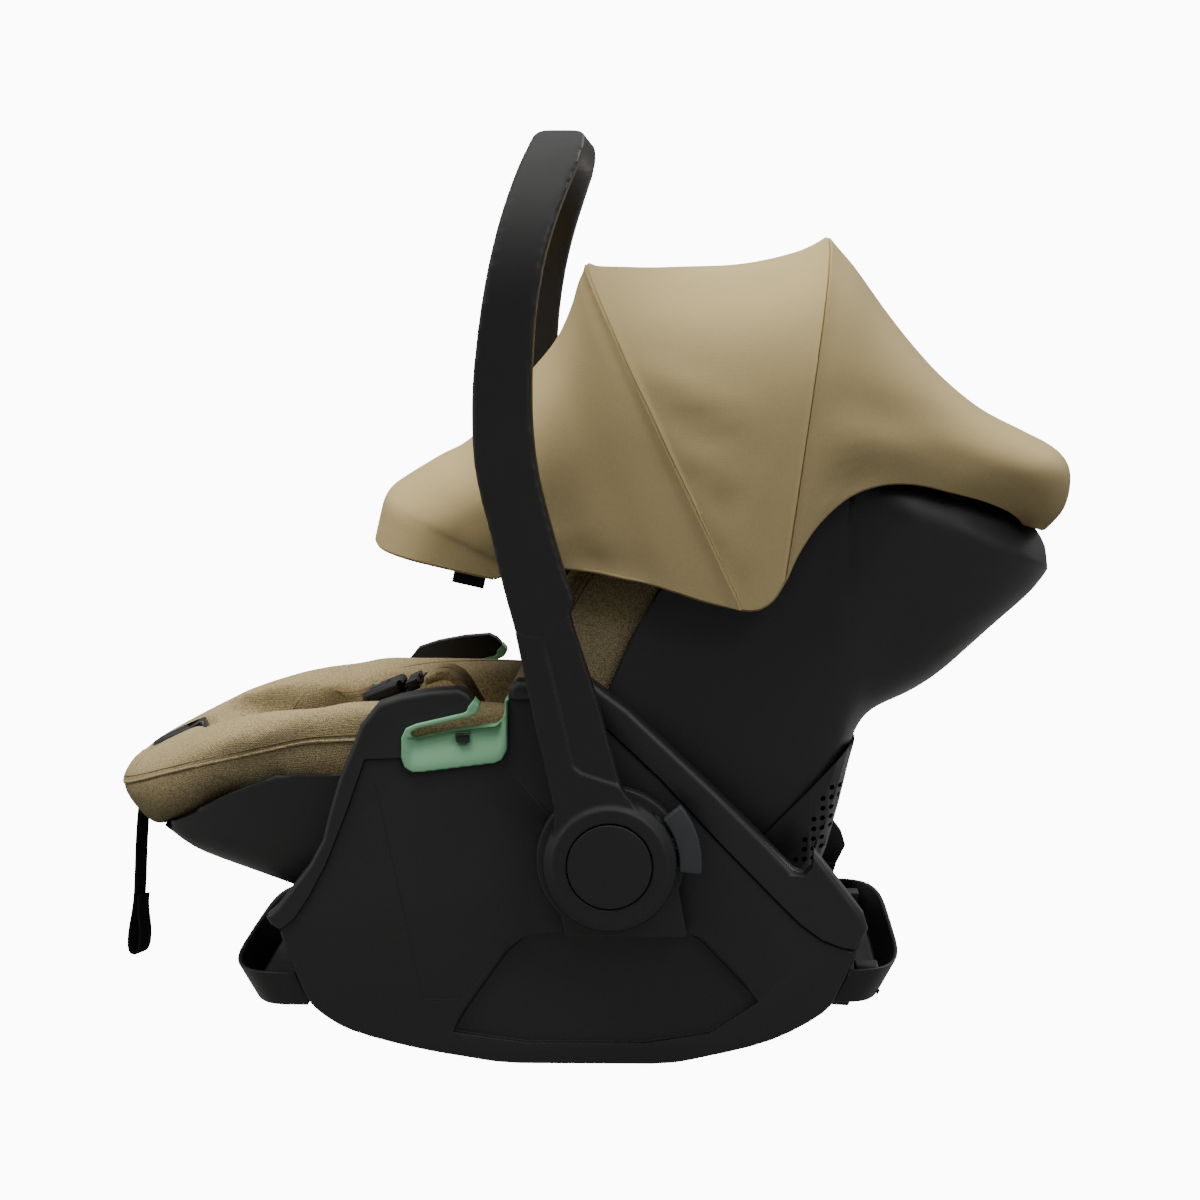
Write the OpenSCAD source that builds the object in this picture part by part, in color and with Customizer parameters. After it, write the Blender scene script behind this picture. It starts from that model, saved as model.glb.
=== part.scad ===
// Infant car seat: a rocker base with vehicle-belt guides, a reclining padded seat with a
// harness and a sliding headrest, a swinging carry handle and a folding canopy.
// X runs towards the head end, Y across the seat, Z up. Millimetres.
// "left" is the sitting infant's left, the -Y side.

/* [Base] */
// Width over the two side panels
base_w = 366; // [350:1:390]
// Depth of each side panel, across the seat
panel_depth = 20; // [18:1:24]
// Wall of the moulded panels, trays and covers
wall = 3; // [2:0.5:4]
// How far trims and rails stand out from the side panels
trim_proud = 2; // [1:0.5:4]
// How far the belt guides stand out from the trims
guide_proud = 2; // [1:0.5:4]
// Depth of the scooped recess in each side panel
scoop_depth = 6; // [3:0.5:8]
// Height of the front and rear trays
tray_h = 24; // [18:1:30]
// Thickness of the bottom plate
floor_t = 4; // [3:0.5:6]

/* [Hub] */
// Radius of the handle hub
hub_r = 45; // [43:0.5:48]
// Thickness of the handle hub, across the seat
hub_h = 23.7; // [22.5:0.1:27]
// Radius of the fixed housing behind the hub
housing_r = 50; // [49:0.5:54]
// Thickness of the fixed housing
housing_h = 14; // [12:0.5:18]
// Radius of the hub cap
cap_r = 28.2; // [27:0.1:30]
// Radius of the axle pin
axle_r = 9; // [8:0.25:10]
// Width of the stroller adapter socket
socket_w = 46; // [36:1:48]
// Depth of the stroller adapter socket, upwards
socket_h = 33; // [24:1:34]
// Clear thickness of the stroller adapter socket
socket_t = 7.5; // [6:0.5:8]

/* [Handle] */
// Height of the top of the handle above the ground
handle_top = 633; // [620:1:650]
// Thickness of the handle across its legs and its grip
handle_t = 22; // [18:1:24]
// Radius of the handle's upper corners
handle_corner = 115; // [90:1:130]
// Travel of each handle release button
button_travel = 5; // [3:0.5:5]

/* [Seat] */
// Wall of the seat shell
shell_wall = 4; // [3:0.5:5]
// Depth of the padding on each side of the infant
side_pad = 54; // [50:1:60]
// Gap between the headrest and the padding on each side
headrest_gap = 8; // [6:1:14]
// Depth of the headrest's side wings
headrest_deep = 78; // [60:1:85]
// Length of the headrest along the back
headrest_long = 130; // [110:1:140]
// Thickness of the headrest pad
headrest_pad_t = 14; // [8:1:18]
// Width of the harness webbing
webbing_w = 24; // [20:1:28]
// Thickness of the infant inlay
inlay_t = 12; // [8:1:14]

/* [Canopy] */
// How far the canopy stands out from each side of the seat shell
canopy_out = 26; // [25:0.5:30]
// Thickness of the canopy fabric with its lining
fabric_t = 2; // [1.5:0.25:3]
// Radius of the canopy bows
bow_r = 2.4; // [2:0.1:2.5]
// Radius of the canopy pivot pins
canopy_pin_r = 4; // [3:0.25:5]

/* [Hidden] */
$fn = 64;

// Fits
run_fit = 0.05;       // radial clearance of a turning pin
side_gap = 0.3;       // clearance between faces that move past each other
soft_gap = 0.4;       // clearance round a soft part
cut = 1;              // how far a cutting solid runs past the face it cuts

// Places in the side view
hub = [17, 142.5];            // axis of the handle and of the seat's recline
canopy_pivot = [112, 322];    // axis of the canopy bows
back_foot = [20, 165];        // where the seat's back surface starts
back_angle = 35.6;            // slope of the seat's back surface

// Places across the seat, counted outwards from the middle
panel_out = base_w / 2;
panel_in = panel_out - panel_depth;
skin_out = panel_out - trim_proud;
housing_out = skin_out + housing_h;
hub_in = housing_out + side_gap;
hub_out = hub_in + hub_h;
hub_floor = hub_in + 4;
cap_out = hub_out + 1;
cap_t = 3.5;
leg_in = hub_in + 0.7;
leg_out = hub_out - 3;
shell_gap = 5;
shell_half = panel_in - shell_gap;
shell_back_half = shell_half - 8;
channel_half = shell_half - side_pad;      // half width of the channel the infant lies in
headrest_half = channel_half - headrest_gap;
canopy_half = shell_back_half + canopy_out;

// Hub inside
plate_web = cap_out - cap_t - 6.5;   // inner face of the lock plate's web
plate_t = 2.5;
plate_rim = 5;
plate_r = cap_r - 0.7;
plate_rim_t = 3.5;
stem_w = 8;
stem_end = 21;
pawl_r = plate_r - plate_rim_t - 0.8;
collar_r = axle_r + 4;
button_in = 46.5;
button_out = 61.5;
button_angle = 17;
button_half_angle = 23;
button_y = [hub_in + 1.7, hub_in + 13.7];
stem_y = [hub_floor + 0.5, plate_web - plate_rim - 0.5];
screw_r = 2;
axle_screw_r = 3;

// ---------------------------------------------------------------- curves and solids

// Point at t between b and c on a smooth line through a, b, c and d
function spline_point(a, b, c, d, t) =
    0.5 * (2 * b + (c - a) * t + (2 * a - 5 * b + 4 * c - d) * t * t
    + (3 * b - a - 3 * c + d) * t * t * t);

// Smooth line through the points p, with n steps between neighbours
function smooth(p, n) = [
    for (i = [0 : len(p) - 2], k = [0 : n - 1])
        spline_point(p[max(i - 1, 0)], p[i], p[i + 1], p[min(i + 2, len(p) - 1)], k / n),
    p[len(p) - 1]
];

function reversed(p) = [for (i = [len(p) - 1 : -1 : 0]) p[i]];
function mean(p) = [for (k = [0 : 2]) [for (q = p) q[k]] * [for (q = p) 1] / len(p)];
function signed_pow(v, e) = sign(v) * pow(abs(v), e);
function unit(v) = v / norm(v);
function side_normal(p, i) =
    let (d = unit(p[min(i + 1, len(p) - 1)] - p[max(i - 1, 0)])) [-d.y, d.x];

// Closed outline of a band of thickness t along the line p, from one of its points to another
function stretch(p, t, from, to) = concat(
    [for (i = [from : to]) p[i] + side_normal(p, i) * t / 2],
    [for (i = [to : -1 : from]) p[i] - side_normal(p, i) * t / 2]
);
function band(p, t) = stretch(p, t, 0, len(p) - 1);

// Point on the seat's back surface: s along it from its foot, n away from it
function on_back(s, n) = back_foot
    + s * [cos(back_angle), sin(back_angle)] + n * [-sin(back_angle), cos(back_angle)];

// Closed solid through rings of points, with flat ends
module loft(rings) {
    m = len(rings[0]);
    n = len(rings);
    points = concat([for (r = rings) each r], [mean(rings[0]), mean(rings[n - 1])]);
    sides = [for (i = [0 : n - 2], j = [0 : m - 1]) each [
        [i * m + j, (i + 1) * m + (j + 1) % m, i * m + (j + 1) % m],
        [i * m + j, (i + 1) * m + j, (i + 1) * m + (j + 1) % m]
    ]];
    first = [for (j = [0 : m - 1]) [n * m, j, (j + 1) % m]];
    last = [for (j = [0 : m - 1]) [n * m + 1, (n - 1) * m + (j + 1) % m, (n - 1) * m + j]];
    polyhedron(points, concat(sides, first, last));
}

// Round tube of radius r along the points p; across is a direction p never runs along
module tube(p, r, across, sides = 8) {
    loft([for (i = [0 : len(p) - 1])
        let (d = unit(p[min(i + 1, len(p) - 1)] - p[max(i - 1, 0)]))
        let (a = unit(cross(d, across)), b = cross(d, a))
        [for (k = [0 : sides - 1])
            p[i] + r * (cos(360 * k / sides) * a + sin(360 * k / sides) * b)]
    ]);
}

// Side-view outline, extruded on the left from y0 to y1
module slab(y0, y1) {
    translate([0, -y0, 0]) rotate([90, 0, 0]) linear_extrude(y1 - y0) children();
}

// Round rod across the seat on the left, from y0 to y1
module rod(at, y0, y1, r) {
    translate([at.x, -y0, at.y]) rotate([90, 0, 0]) cylinder(h = y1 - y0, r = r);
}

module on_right() {
    mirror([0, 1, 0]) children();
}

module on_both() {
    children();
    on_right() children();
}

// ---------------------------------------------------------------- side-view outlines

// Curved lower edge of the side panels, flat in the middle where the base stands
rocker = [
    for (p = smooth([[-208, 91.5], [-205, 81], [-198, 63], [-190, 45], [-180, 34], [-159, 22],
        [-119, 11], [-80, 4], [-45, 0], [45, 0], [80, 5], [126, 17], [161, 36], [172, 52],
        [181, 71], [184, 80]], 3))
    [p.x, max(p.y, 0)]
];
rail_seam = [[184, 80], [173, 82], [160, 87], [145, 98], [126, 117], [88, 156], [51, 196],
    [13, 232], [-2, 250], [-52, 250]];
rail_top = [[191, 94], [188, 104], [179, 116], [166, 133], [154, 148], [153, 136],
    [148, 131], [140, 135], [119, 157], [88, 188], [51, 223], [29, 244], [13, 256], [4, 263],
    [-46, 263], [-52, 258], [-52, 250]];
guide_edge = [[-52, 250], [-52.5, 216], [-56, 209.5], [-61, 207], [-108, 201], [-117, 200.5],
    [-122, 204], [-124, 210]];
trim_seam = [[-124, 210], [-149, 209], [-154, 195], [-161, 175], [-170, 152], [-176, 137],
    [-187, 116], [-197.5, 100], [-208, 91.5]];
arm_under = [[-124, 224], [-121, 230.5], [-114, 233.5], [-80, 241.5], [-79, 245], [-75, 250]];
trim_outer = [[-79, 254.5], [-85, 257.5], [-104, 256], [-125, 252], [-140, 247], [-152, 232],
    [-158, 216], [-167, 195], [-174, 171], [-178, 154], [-187, 137], [-200, 120],
    [-210, 107], [-217, 101], [-214, 96]];
slot_edge = [[-75, 250], [-71.5, 246], [-71.5, 243], [-74, 240], [-78, 238.2], [-112, 230.5],
    [-117, 228.5], [-118, 225.5], [-116, 223], [-87, 229], [-60, 232], [-56, 236],
    [-54.4, 242], [-54.4, 250]];
panel_outline = concat(rocker, rail_seam, guide_edge, trim_seam);
rail_outline = concat(rail_seam, reversed(rail_top));
trim_outline = concat([trim_seam[0]], arm_under, trim_outer, reversed(trim_seam));
guide_outline = concat(slot_edge, guide_edge, arm_under);
scoop = [[-17, 91], [-39, 89], [-53, 77], [-79, 40], [-90, 22], [-40, 15], [40, 15],
    [84, 22], [117, 44], [100, 62], [79, 84], [69, 91]];
housing_foot = [[-33, 142], [-17, 108], [-14, 91], [69, 91], [62, 130], [60, 142]];
floor_line = smooth([[-187, 38], [-160, 29], [-119, 18], [-60, 9.5], [0, 6.5], [60, 9.5],
    [126, 24], [162, 42]], 3);

// Handle in the side view
leg_top = [-30, 297];
bow_front = [[-46, 300], [-52, 322], [-57, 342], [-61.5, 362], [-66.5, 381], [-71.1, 401],
    [-73.4, 421], [-74, 439], [-73.6, 461], [-71.4, 485], [-67.8, 513], [-62.8, 541],
    [-57.2, 566], [-51.6, 586], [-45.2, 606], [-39.5, 621]];
bow_back = [[-1.8, 621], [-4.6, 610], [-12, 590], [-20, 566], [-26.4, 541], [-31, 513],
    [-33.4, 485], [-34.2, 461], [-33.9, 439], [-32.6, 421], [-29.7, 401], [-25.7, 384],
    [-20.6, 365], [-15, 345], [-11.6, 334.5], [-6, 321]];
bow_outline = concat(smooth(bow_front, 2), [[-37, handle_top - 4], [-32, handle_top],
    [-6, handle_top], [-1.6, handle_top - 4]], smooth(bow_back, 2), [[-10, 314], leg_top]);
leg_outline = [[-20, 181], [-33, 238], [-46, 300], leg_top, [-10, 314], [-7, 302],
    [8, 256], [25, 194], [40, 175], [17, 142.5], [-20, 150]];
inset_outline = [[-9, 309], [-27, 295], [-7, 209], [-2, 205], [19, 198], [22, 194], [5, 256]];

// ---------------------------------------------------------------- seat shell sections

// One row: place along X, lowest point, rim height, half width
shell_rows = smooth([
    [-296, 150, 154, shell_half - 46], [-286, 142, 158, shell_half - 34],
    [-274, 132, 165, shell_half - 25], [-250, 123, 178, shell_half - 13],
    [-214, 110, 193.5, shell_half - 4], [-170, 93, 195.5, shell_half],
    [-120, 72, 194, shell_half], [-60, 52, 193, shell_half], [-25, 45, 202, shell_half], [0, 42, 229, shell_half],
    [14, 42, 251, shell_half - 1], [30, 42, 289, shell_half - 4],
    [46, 42, 317, shell_back_half], [75, 44, 362, shell_back_half],
    [105, 54, 390, shell_back_half], [135, 74, 398, shell_back_half],
    [150, 96, 398, shell_back_half], [163, 130, 397, shell_back_half - 1],
    [171, 160, 396, shell_back_half - 1], [178, 190, 395, shell_back_half - 2],
    [184, 213, 393, shell_back_half - 2], [194, 229, 392, shell_back_half - 3],
    [216, 238, 389, shell_back_half - 5], [240, 251, 383, shell_back_half - 9],
    [266, 275, 376, shell_back_half - 17], [292, 304, 369, shell_back_half - 34],
    [305, 320, 364, shell_back_half - 54], [313, 338, 359, shell_back_half - 82]
], 1);

// The same rows moved inwards by t, at right angles to the lowest line
function moved_rows(rows, t) = [
    for (i = [0 : len(rows) - 1])
    let (p = rows[max(i - 1, 0)], q = rows[min(i + 1, len(rows) - 1)])
    let (d = unit([q[0] - p[0], q[1] - p[1]]))
    [rows[i][0] - t * d.y, rows[i][1] + t * d.x, rows[i][2], rows[i][3] - t]
];

// U-shaped section with a flat lid; a smaller e makes it squarer
function tub_section(row, lid, e = 0.4, steps = 16) = [
    for (k = [0 : steps]) let (a = 180 * k / steps)
    [row[0], -row[3] * signed_pow(cos(a), e),
        row[2] + lid - (row[2] + lid - row[1]) * pow(sin(a), e)]
];

module tub(rows, lid) {
    loft([for (row = rows) tub_section(row, lid)]);
}

// ---------------------------------------------------------------- base

// Ring of a tray: half of a rounded plan, at height z
function tray_ring(x, reach, half, z, e = 0.45, steps = 24) = [
    for (k = [0 : steps]) let (a = 180 * k / steps - 90)
    [x + reach * pow(abs(cos(a)), e), half * signed_pow(sin(a), e), z]
];

// U-shaped tray that opens towards the middle of the base; dir is 1 at the head end
module tray(x, reach_low, reach_top, z, dir) {
    half = skin_out - wall;
    slope = reach_top - reach_low;
    mirror([dir < 0 ? 1 : 0, 0, 0]) difference() {
        rotate([180, 0, 0]) mirror([0, 0, 1]) mirror([0, 1, 0]) loft([
            tray_ring(x, reach_low, half - 6, z),
            tray_ring(x, reach_top, half, z + tray_h)
        ]);
        loft([
            tray_ring(x - cut, reach_low + cut, half - 6 - wall, z + wall),
            tray_ring(x - cut, reach_top + cut - wall, half - wall, z + tray_h + 0.2)
        ]);
    }
}

module beside_panels() {
    difference() {
        children();
        on_both() slab(panel_in, panel_out + cut) {
            polygon(panel_outline);
            polygon(trim_outline);
            polygon(rail_outline);
        }
    }
}

module base_floor() {
    color("#1c1c1e") difference() {
        union() {
            translate([0, panel_in, 0]) rotate([90, 0, 0])
                linear_extrude(2 * panel_in) polygon(band(floor_line, floor_t));
            for (y = [-60, 60])
                translate([0, y + wall / 2, 0]) rotate([90, 0, 0]) linear_extrude(wall)
                    polygon(concat(floor_line, [[140, 38], [60, 24], [-60, 24], [-140, 34]]));
        }
    }
}

front_tray_x = 189.3;
rear_tray_x = 165.3;
front_tray_z = 38;
rear_tray_z = 42;

module front_tray() {
    color("#232325") beside_panels()
        tray(front_tray_x, 43, 58, front_tray_z, -1);
}

module rear_tray() {
    block = [16, 22, 18];
    color("#232325") beside_panels() {
        tray(rear_tray_x, 38, 52, rear_tray_z, 1);
        for (y = [-139, 139])
            translate([184, y - block.y / 2, rear_tray_z + wall]) cube(block);
    }
}

module rear_hooks() {
    hook = [[165, 41.7], [165, 33], [180, 32], [184, 41.7]];
    color("#111112") on_both() slab(118, 136) polygon(hook);
}

screw_ring = 38;
module screw_places() {
    for (a = [30, 90, 150])
        translate([hub.x + screw_ring * cos(a), 0, hub.y + screw_ring * sin(a)]) children();
}

module side_panel() {
    boss_r = axle_r + 12;
    color("#1a1a1c") difference() {
        slab(panel_in, skin_out) polygon(panel_outline);
        slab(panel_in - cut, skin_out - wall) difference() {
            offset(delta = -wall) polygon(panel_outline);
            offset(delta = wall) polygon(scoop);
            translate(hub) circle(boss_r);
        }
        slab(panel_in - cut, skin_out - scoop_depth - wall) polygon(scoop);
        slab(skin_out - scoop_depth, skin_out + cut) polygon(scoop);
        rod(hub, panel_in - cut, skin_out + cut, axle_r + run_fit);
        screw_places() rod([0, 0], skin_out - wall - cut, skin_out + cut, screw_r + run_fit);
    }
}

module front_trim() {
    color("#242427") slab(panel_in, panel_out) polygon(trim_outline);
}

module rail() {
    color("#242427") slab(panel_in, panel_out) polygon(rail_outline);
}

catch_at = [-82.5, 224];
catch_size = [9, 6];
catch_deep = 6;
catch_travel = 3;

module belt_guide() {
    outer = panel_out + guide_proud;
    color("#9fcfb4") difference() {
        slab(panel_in, outer) polygon(guide_outline);
        slab(outer - catch_deep - catch_travel - side_gap, outer + cut) translate(catch_at)
            square(catch_size + [soft_gap, soft_gap], center = true);
    }
}

module guide_catch() {
    outer = panel_out + guide_proud;
    color("#151516") slab(outer - catch_deep, outer + 0.5)
        translate(catch_at) square(catch_size, center = true);
}

socket_low = 91;
socket_mid = 28;

module pivot_housing() {
    color("#1f1f21") difference() {
        slab(skin_out, housing_out) {
            translate(hub) circle(housing_r);
            polygon(housing_foot);
        }
        rod(hub, skin_out - cut, housing_out + cut, axle_r + run_fit);
        slab(skin_out + wall, skin_out + wall + socket_t)
            translate([socket_mid - socket_w / 2, socket_low - cut])
                square([socket_w, socket_h + cut]);
        screw_places() rod([0, 0], skin_out - cut, skin_out + 9, screw_r + run_fit);
    }
}

module housing_screws() {
    color("#8a8a8e") on_both() screw_places() {
        rod([0, 0], skin_out - wall - 2.5, skin_out - wall, 3.5);
        rod([0, 0], skin_out - wall - 0.5, skin_out + 8.5, screw_r);
    }
}

axle_in = shell_half - 12;
module axles() {
    color("#b9babd") on_both() difference() {
        rod(hub, axle_in, plate_web, axle_r);
        rod(hub, plate_web - 18, plate_web + cut, axle_screw_r + run_fit);
    }
}

// Fixed plate inside the hub; its rim holds the release button's pawl at three stops
module lock_plates() {
    stops = [0, 52, 105];
    color("#7d7e82") on_both() difference() {
        rod(hub, plate_web - plate_rim, plate_web + plate_t, plate_r);
        rod(hub, plate_web - plate_rim - cut, plate_web, plate_r - plate_rim_t);
        rod(hub, plate_web - cut, plate_web + plate_t + cut, axle_screw_r + run_fit);
        for (a = stops)
            slab(plate_web - plate_rim - cut, plate_web)
                translate(hub) rotate(button_angle - a)
                    translate([pawl_r, -stem_w / 2 - 0.5])
                        square([plate_r - pawl_r - 1.2, stem_w + 1]);
    }
}

module axle_screws() {
    color("#8a8a8e") on_both() {
        rod(hub, plate_web + plate_t, plate_web + plate_t + 2.2, 6);
        rod(hub, plate_web - 16, plate_web + plate_t + 0.5, axle_screw_r);
    }
}

// ---------------------------------------------------------------- handle

module handle_bow() {
    low = leg_top.y - 10;
    outer = handle_corner;
    inner = handle_corner - handle_t;
    color("#1a1a1c") intersection() {
        translate([0, leg_out, 0]) rotate([90, 0, 0])
            linear_extrude(2 * leg_out) polygon(bow_outline);
        rotate([90, 0, 90]) translate([0, 0, -120]) linear_extrude(180) difference() {
            union() {
                translate([-leg_out, low]) square([2 * leg_out, handle_top - low - outer]);
                translate([outer - leg_out, low])
                    square([2 * (leg_out - outer), handle_top - low]);
                for (s = [-1, 1])
                    translate([s * (leg_out - outer), handle_top - outer]) circle(outer);
            }
            union() {
                translate([handle_t - leg_out, low - cut])
                    square([2 * (leg_out - handle_t), handle_top - low + cut - outer]);
                translate([outer - leg_out, low - cut])
                    square([2 * (leg_out - outer), handle_top - low + cut - handle_t]);
                for (s = [-1, 1])
                    translate([s * (leg_out - outer), handle_top - outer]) circle(inner);
            }
        }
    }
}

module button_sector(r0, r1, half_angle) {
    polygon(concat(
        [for (k = [-6 : 6]) r1 * [cos(half_angle * k / 6), sin(half_angle * k / 6)]],
        [for (k = [6 : -1 : -6]) r0 * [cos(half_angle * k / 6), sin(half_angle * k / 6)]]
    ));
}

inset_t = 2;
module handle_leg() {
    bevel = 7;
    pocket_r = button_in - button_travel - 0.5;
    pocket_half = 23;
    color("#1a1a1c") difference() {
        union() {
            slab(leg_in, leg_out) polygon(leg_outline);
            translate([hub.x, -hub_in, hub.y]) rotate([90, 0, 0]) rotate_extrude()
                polygon([[0, 0], [hub_r, 0], [hub_r, hub_h - bevel],
                    [hub_r - bevel, hub_h], [0, hub_h]]);
        }
        rod(hub, hub_in - cut, hub_floor + cut, axle_r + run_fit);
        difference() {
            rod(hub, hub_floor, hub_out + cut, cap_r + side_gap);
            difference() {
                rod(hub, hub_floor - cut, stem_y[1] - 1, collar_r);
                rod(hub, hub_floor - 2 * cut, stem_y[1], axle_r + run_fit);
            }
        }
        slab(button_y[0] - side_gap, button_y[1] + side_gap) translate(hub)
            rotate(button_angle) difference() {
                translate([20, -pocket_half]) square([60, 2 * pocket_half]);
                circle(pocket_r);
            }
        slab(stem_y[0] - 0.2, stem_y[1] + 0.2) translate(hub) rotate(button_angle)
            translate([20, -stem_w / 2 - side_gap]) square([40, stem_w + 2 * side_gap]);
        slab(leg_out - inset_t, leg_out + cut) polygon(inset_outline);
    }
}

module leg_insets() {
    color("#202023") on_both() slab(leg_out - inset_t, leg_out)
        offset(delta = -0.25) polygon(inset_outline);
}

module hub_caps() {
    color("#1c1c1e") on_both() difference() {
        rod(hub, cap_out - cap_t, cap_out, cap_r);
        rod(hub, cap_out - cap_t - cut, cap_out - 2, cap_r - 6);
    }
}

module handle_button() {
    color("#5d6166") {
        slab(button_y[0], button_y[1]) translate(hub) rotate(button_angle)
            button_sector(button_in, button_out, button_half_angle);
        slab(stem_y[0], stem_y[1]) translate(hub) rotate(button_angle)
            translate([stem_end, -stem_w / 2]) square([button_in + 2 - stem_end, stem_w]);
        slab(stem_y[1] - 0.5, plate_web - 0.5) translate(hub) rotate(button_angle)
            translate([stem_end - 4, -stem_w / 2]) square([pawl_r - stem_end + 4, stem_w]);
    }
}

// Compression spring between the hub's collar and the button's stem
module button_spring() {
    wire = 0.35;
    coil = 1.4;
    turns = 3.5;
    from = collar_r + wire + 0.1;
    to = stem_end - wire - 0.1;
    middle = (stem_y[0] + stem_y[1]) / 2;
    path = [for (k = [0 : 12 * turns])
        [from + (to - from) * k / (12 * turns), coil * cos(30 * k), coil * sin(30 * k)]];
    color("#c9cacc") translate([hub.x, -middle, hub.y]) rotate([0, -button_angle, 0])
        tube(path, wire, [1, 0, 0], 6);
}

// ---------------------------------------------------------------- seat

module recline_hole(r) {
    on_both() rod(hub, axle_in - 8, shell_half + 3, r);
}

bush_r = axle_r + 4;
module seat_shell() {
    color("#18181a") difference() {
        tub(shell_rows, 0);
        tub(moved_rows(shell_rows, shell_wall), cut);
        recline_hole(bush_r + run_fit);
    }
}

module recline_bushes() {
    color("#d8d8d2") on_both() difference() {
        union() {
            rod(hub, axle_in + 2, panel_in - 2, bush_r);
            rod(hub, shell_half + 0.5, panel_in - 1, bush_r + 5);
        }
        rod(hub, axle_in, panel_in, axle_r + run_fit);
    }
}

// Cover round the lower rear corner of the shell, with vent holes
module vent_cover() {
    cover = 2;
    edge = [[118, 149], [180, 212], [215, 212], [215, 60], [140, 60]];
    pitch = 6;
    color("#1d1d1f") difference() {
        intersection() {
            tub(moved_rows(shell_rows, -side_gap - cover), 0);
            translate([0, panel_in, 0]) rotate([90, 0, 0])
                linear_extrude(2 * panel_in) polygon(edge);
        }
        tub(moved_rows(shell_rows, -side_gap), cut);
        on_both() for (row = [0 : 7], col = [0 : 2])
            translate([143 + 3.1 * row + pitch * (col + (row % 2) / 2), 0, 134 + 7.2 * row])
                rotate([90, 0, 0]) cylinder(h = panel_in, r = 1.9, $fn = 10);
    }
}

// Seating surface in the side view, closed far above the seat
seat_line = [[-230, 196], [-188, 186], [-150, 175], [-100, 164], [-60, 158], [-20, 158],
    back_foot, on_back(345, 0)];
liner_rim = 25;

module seat_liner() {
    rim = [[-240, 60], [-240, 195], [-60, 193.5], on_back(3, liner_rim), on_back(345, liner_rim),
        [400, 60]];
    color("#a99e7e") difference() {
        intersection() {
            tub(moved_rows(shell_rows, shell_wall + soft_gap), 0);
            translate([0, shell_half, 0]) rotate([90, 0, 0])
                linear_extrude(2 * shell_half) polygon(rim);
            translate([-189, -200, 0]) cube([600, 400, 600]);
        }
        translate([0, channel_half, 0]) rotate([90, 0, 0]) linear_extrude(2 * channel_half)
            polygon(concat(seat_line, [[330, 600], [-230, 600]]));
        recline_hole(bush_r + 1);
    }
}

// One row: place along X, lowest point, highest point, half width
cushion_rows = smooth([
    [-340, 167, 179, shell_half - 124], [-334, 158, 187, shell_half - 86],
    [-322, 152, 194, shell_half - 54], [-305, 153, 202.5, shell_half - 34],
    [-285, 160, 212, shell_half - 20], [-264, 173, 221.5, shell_half - 10],
    [-240, 186, 229.5, shell_half - 4], [-214, 194.5, 236, shell_half - 1],
    [-195, 196.2, 239, shell_half]
], 2);

// Section of a stuffed part, squarer below, where it rests, than above
function pillow_section(row, e_top = 0.5, steps = 28, e_low = 0.34) = [
    for (k = [0 : steps - 1])
    let (a = 360 * k / steps, e = a < 180 ? e_low : e_top)
    [row[0], -row[3] * signed_pow(cos(a), e),
        (row[1] + row[2]) / 2 - (row[2] - row[1]) / 2 * signed_pow(sin(a), e)]
];

adjuster_at = [-301, 202.5];
adjuster_slope = 25;
adjuster_long = 42;
adjuster_wide = 50;
adjuster_deep = 10;
adjuster_proud = 2;
lever_long = 26;
lever_wide = 30;

module at_adjuster() {
    translate([adjuster_at.x, 0, adjuster_at.y]) rotate([0, -adjuster_slope, 0]) children();
}

module oval(long, wide) {
    scale_x = (wide - long) / 2;
    for (s = [-1, 1]) translate([0, s * scale_x]) circle(long / 2);
    square([long, wide - long], center = true);
}

module leg_cushion() {
    well = smooth([[-292, 240], [-285, 214], [-262, 202], [-230, 196], [-190, 187]], 3);
    color("#b3a987") difference() {
        loft([for (row = cushion_rows) pillow_section(row)]);
        translate([0, channel_half - 14, 0]) rotate([90, 0, 0])
            linear_extrude(2 * (channel_half - 14)) polygon(concat(well, [[-180, 260]]));
        at_adjuster() translate([0, 0, -adjuster_deep])
            linear_extrude(60) oval(adjuster_long + 2 * soft_gap, adjuster_wide + 2 * soft_gap);
    }
}

module bolster() {
    half = side_pad / 2;
    rows = [[-194.5, 208, 228, half - 13], [-190, 199, 237, half - 4],
        [-160, 196, 241.5, half - 1], [-90, 195, 243, half - 1], [-60, 194.5, 243, half - 2],
        [-36, 203, 242, half - 5], [-30, 210, 235, half - 13]];
    color("#b3a987") translate([0, -channel_half - half, 0])
        loft([for (row = smooth(rows, 2)) pillow_section(row, 0.5, 20)]);
}

module side_wing() {
    outline = [[-28, 192], [-28, 244], [-63, 244.5], [-50, 270], [-33, 300], [-14, 332],
        [20, 372], [60, 396], [110, 402], [160, 398], on_back(190, 150),
        on_back(190, liner_rim + 0.5), on_back(3, liner_rim + 0.5)];
    color("#a99e7e") slab(channel_half + 9, shell_back_half - shell_wall - 3)
        polygon(outline);
}

module seat_inlay() {
    half = 62;
    line = [[-88, 162.5], [-60, 158.6], [-20, 158.6], on_back(-1, 1), on_back(100, 0.4)];
    top = concat(
        [for (i = [0 : len(line) - 1]) line[i] + side_normal(line, i) * inlay_t]
    );
    color("#c2b898") translate([0, half, 0]) rotate([90, 0, 0]) linear_extrude(2 * half)
        polygon(concat([for (p = line) p + [0, soft_gap]], reversed(top)));
}

module canopy_pins() {
    head = bow_layer(2) + bow_layer_t;
    color("#2a2a2c") on_both() {
        rod(canopy_pivot, shell_back_half + 0.2, shell_back_half + 2.7, 13);
        rod(canopy_pivot, shell_back_half + 0.2, head + 0.5, canopy_pin_r);
        rod(canopy_pivot, head + 0.3, head + 1.8, canopy_pin_r + 3);
    }
}

// ---------------------------------------------------------------- headrest

module at_back(s) {
    translate([on_back(s, 0).x, 0, on_back(s, 0).y]) rotate([0, -back_angle, 0]) children();
}

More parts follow.
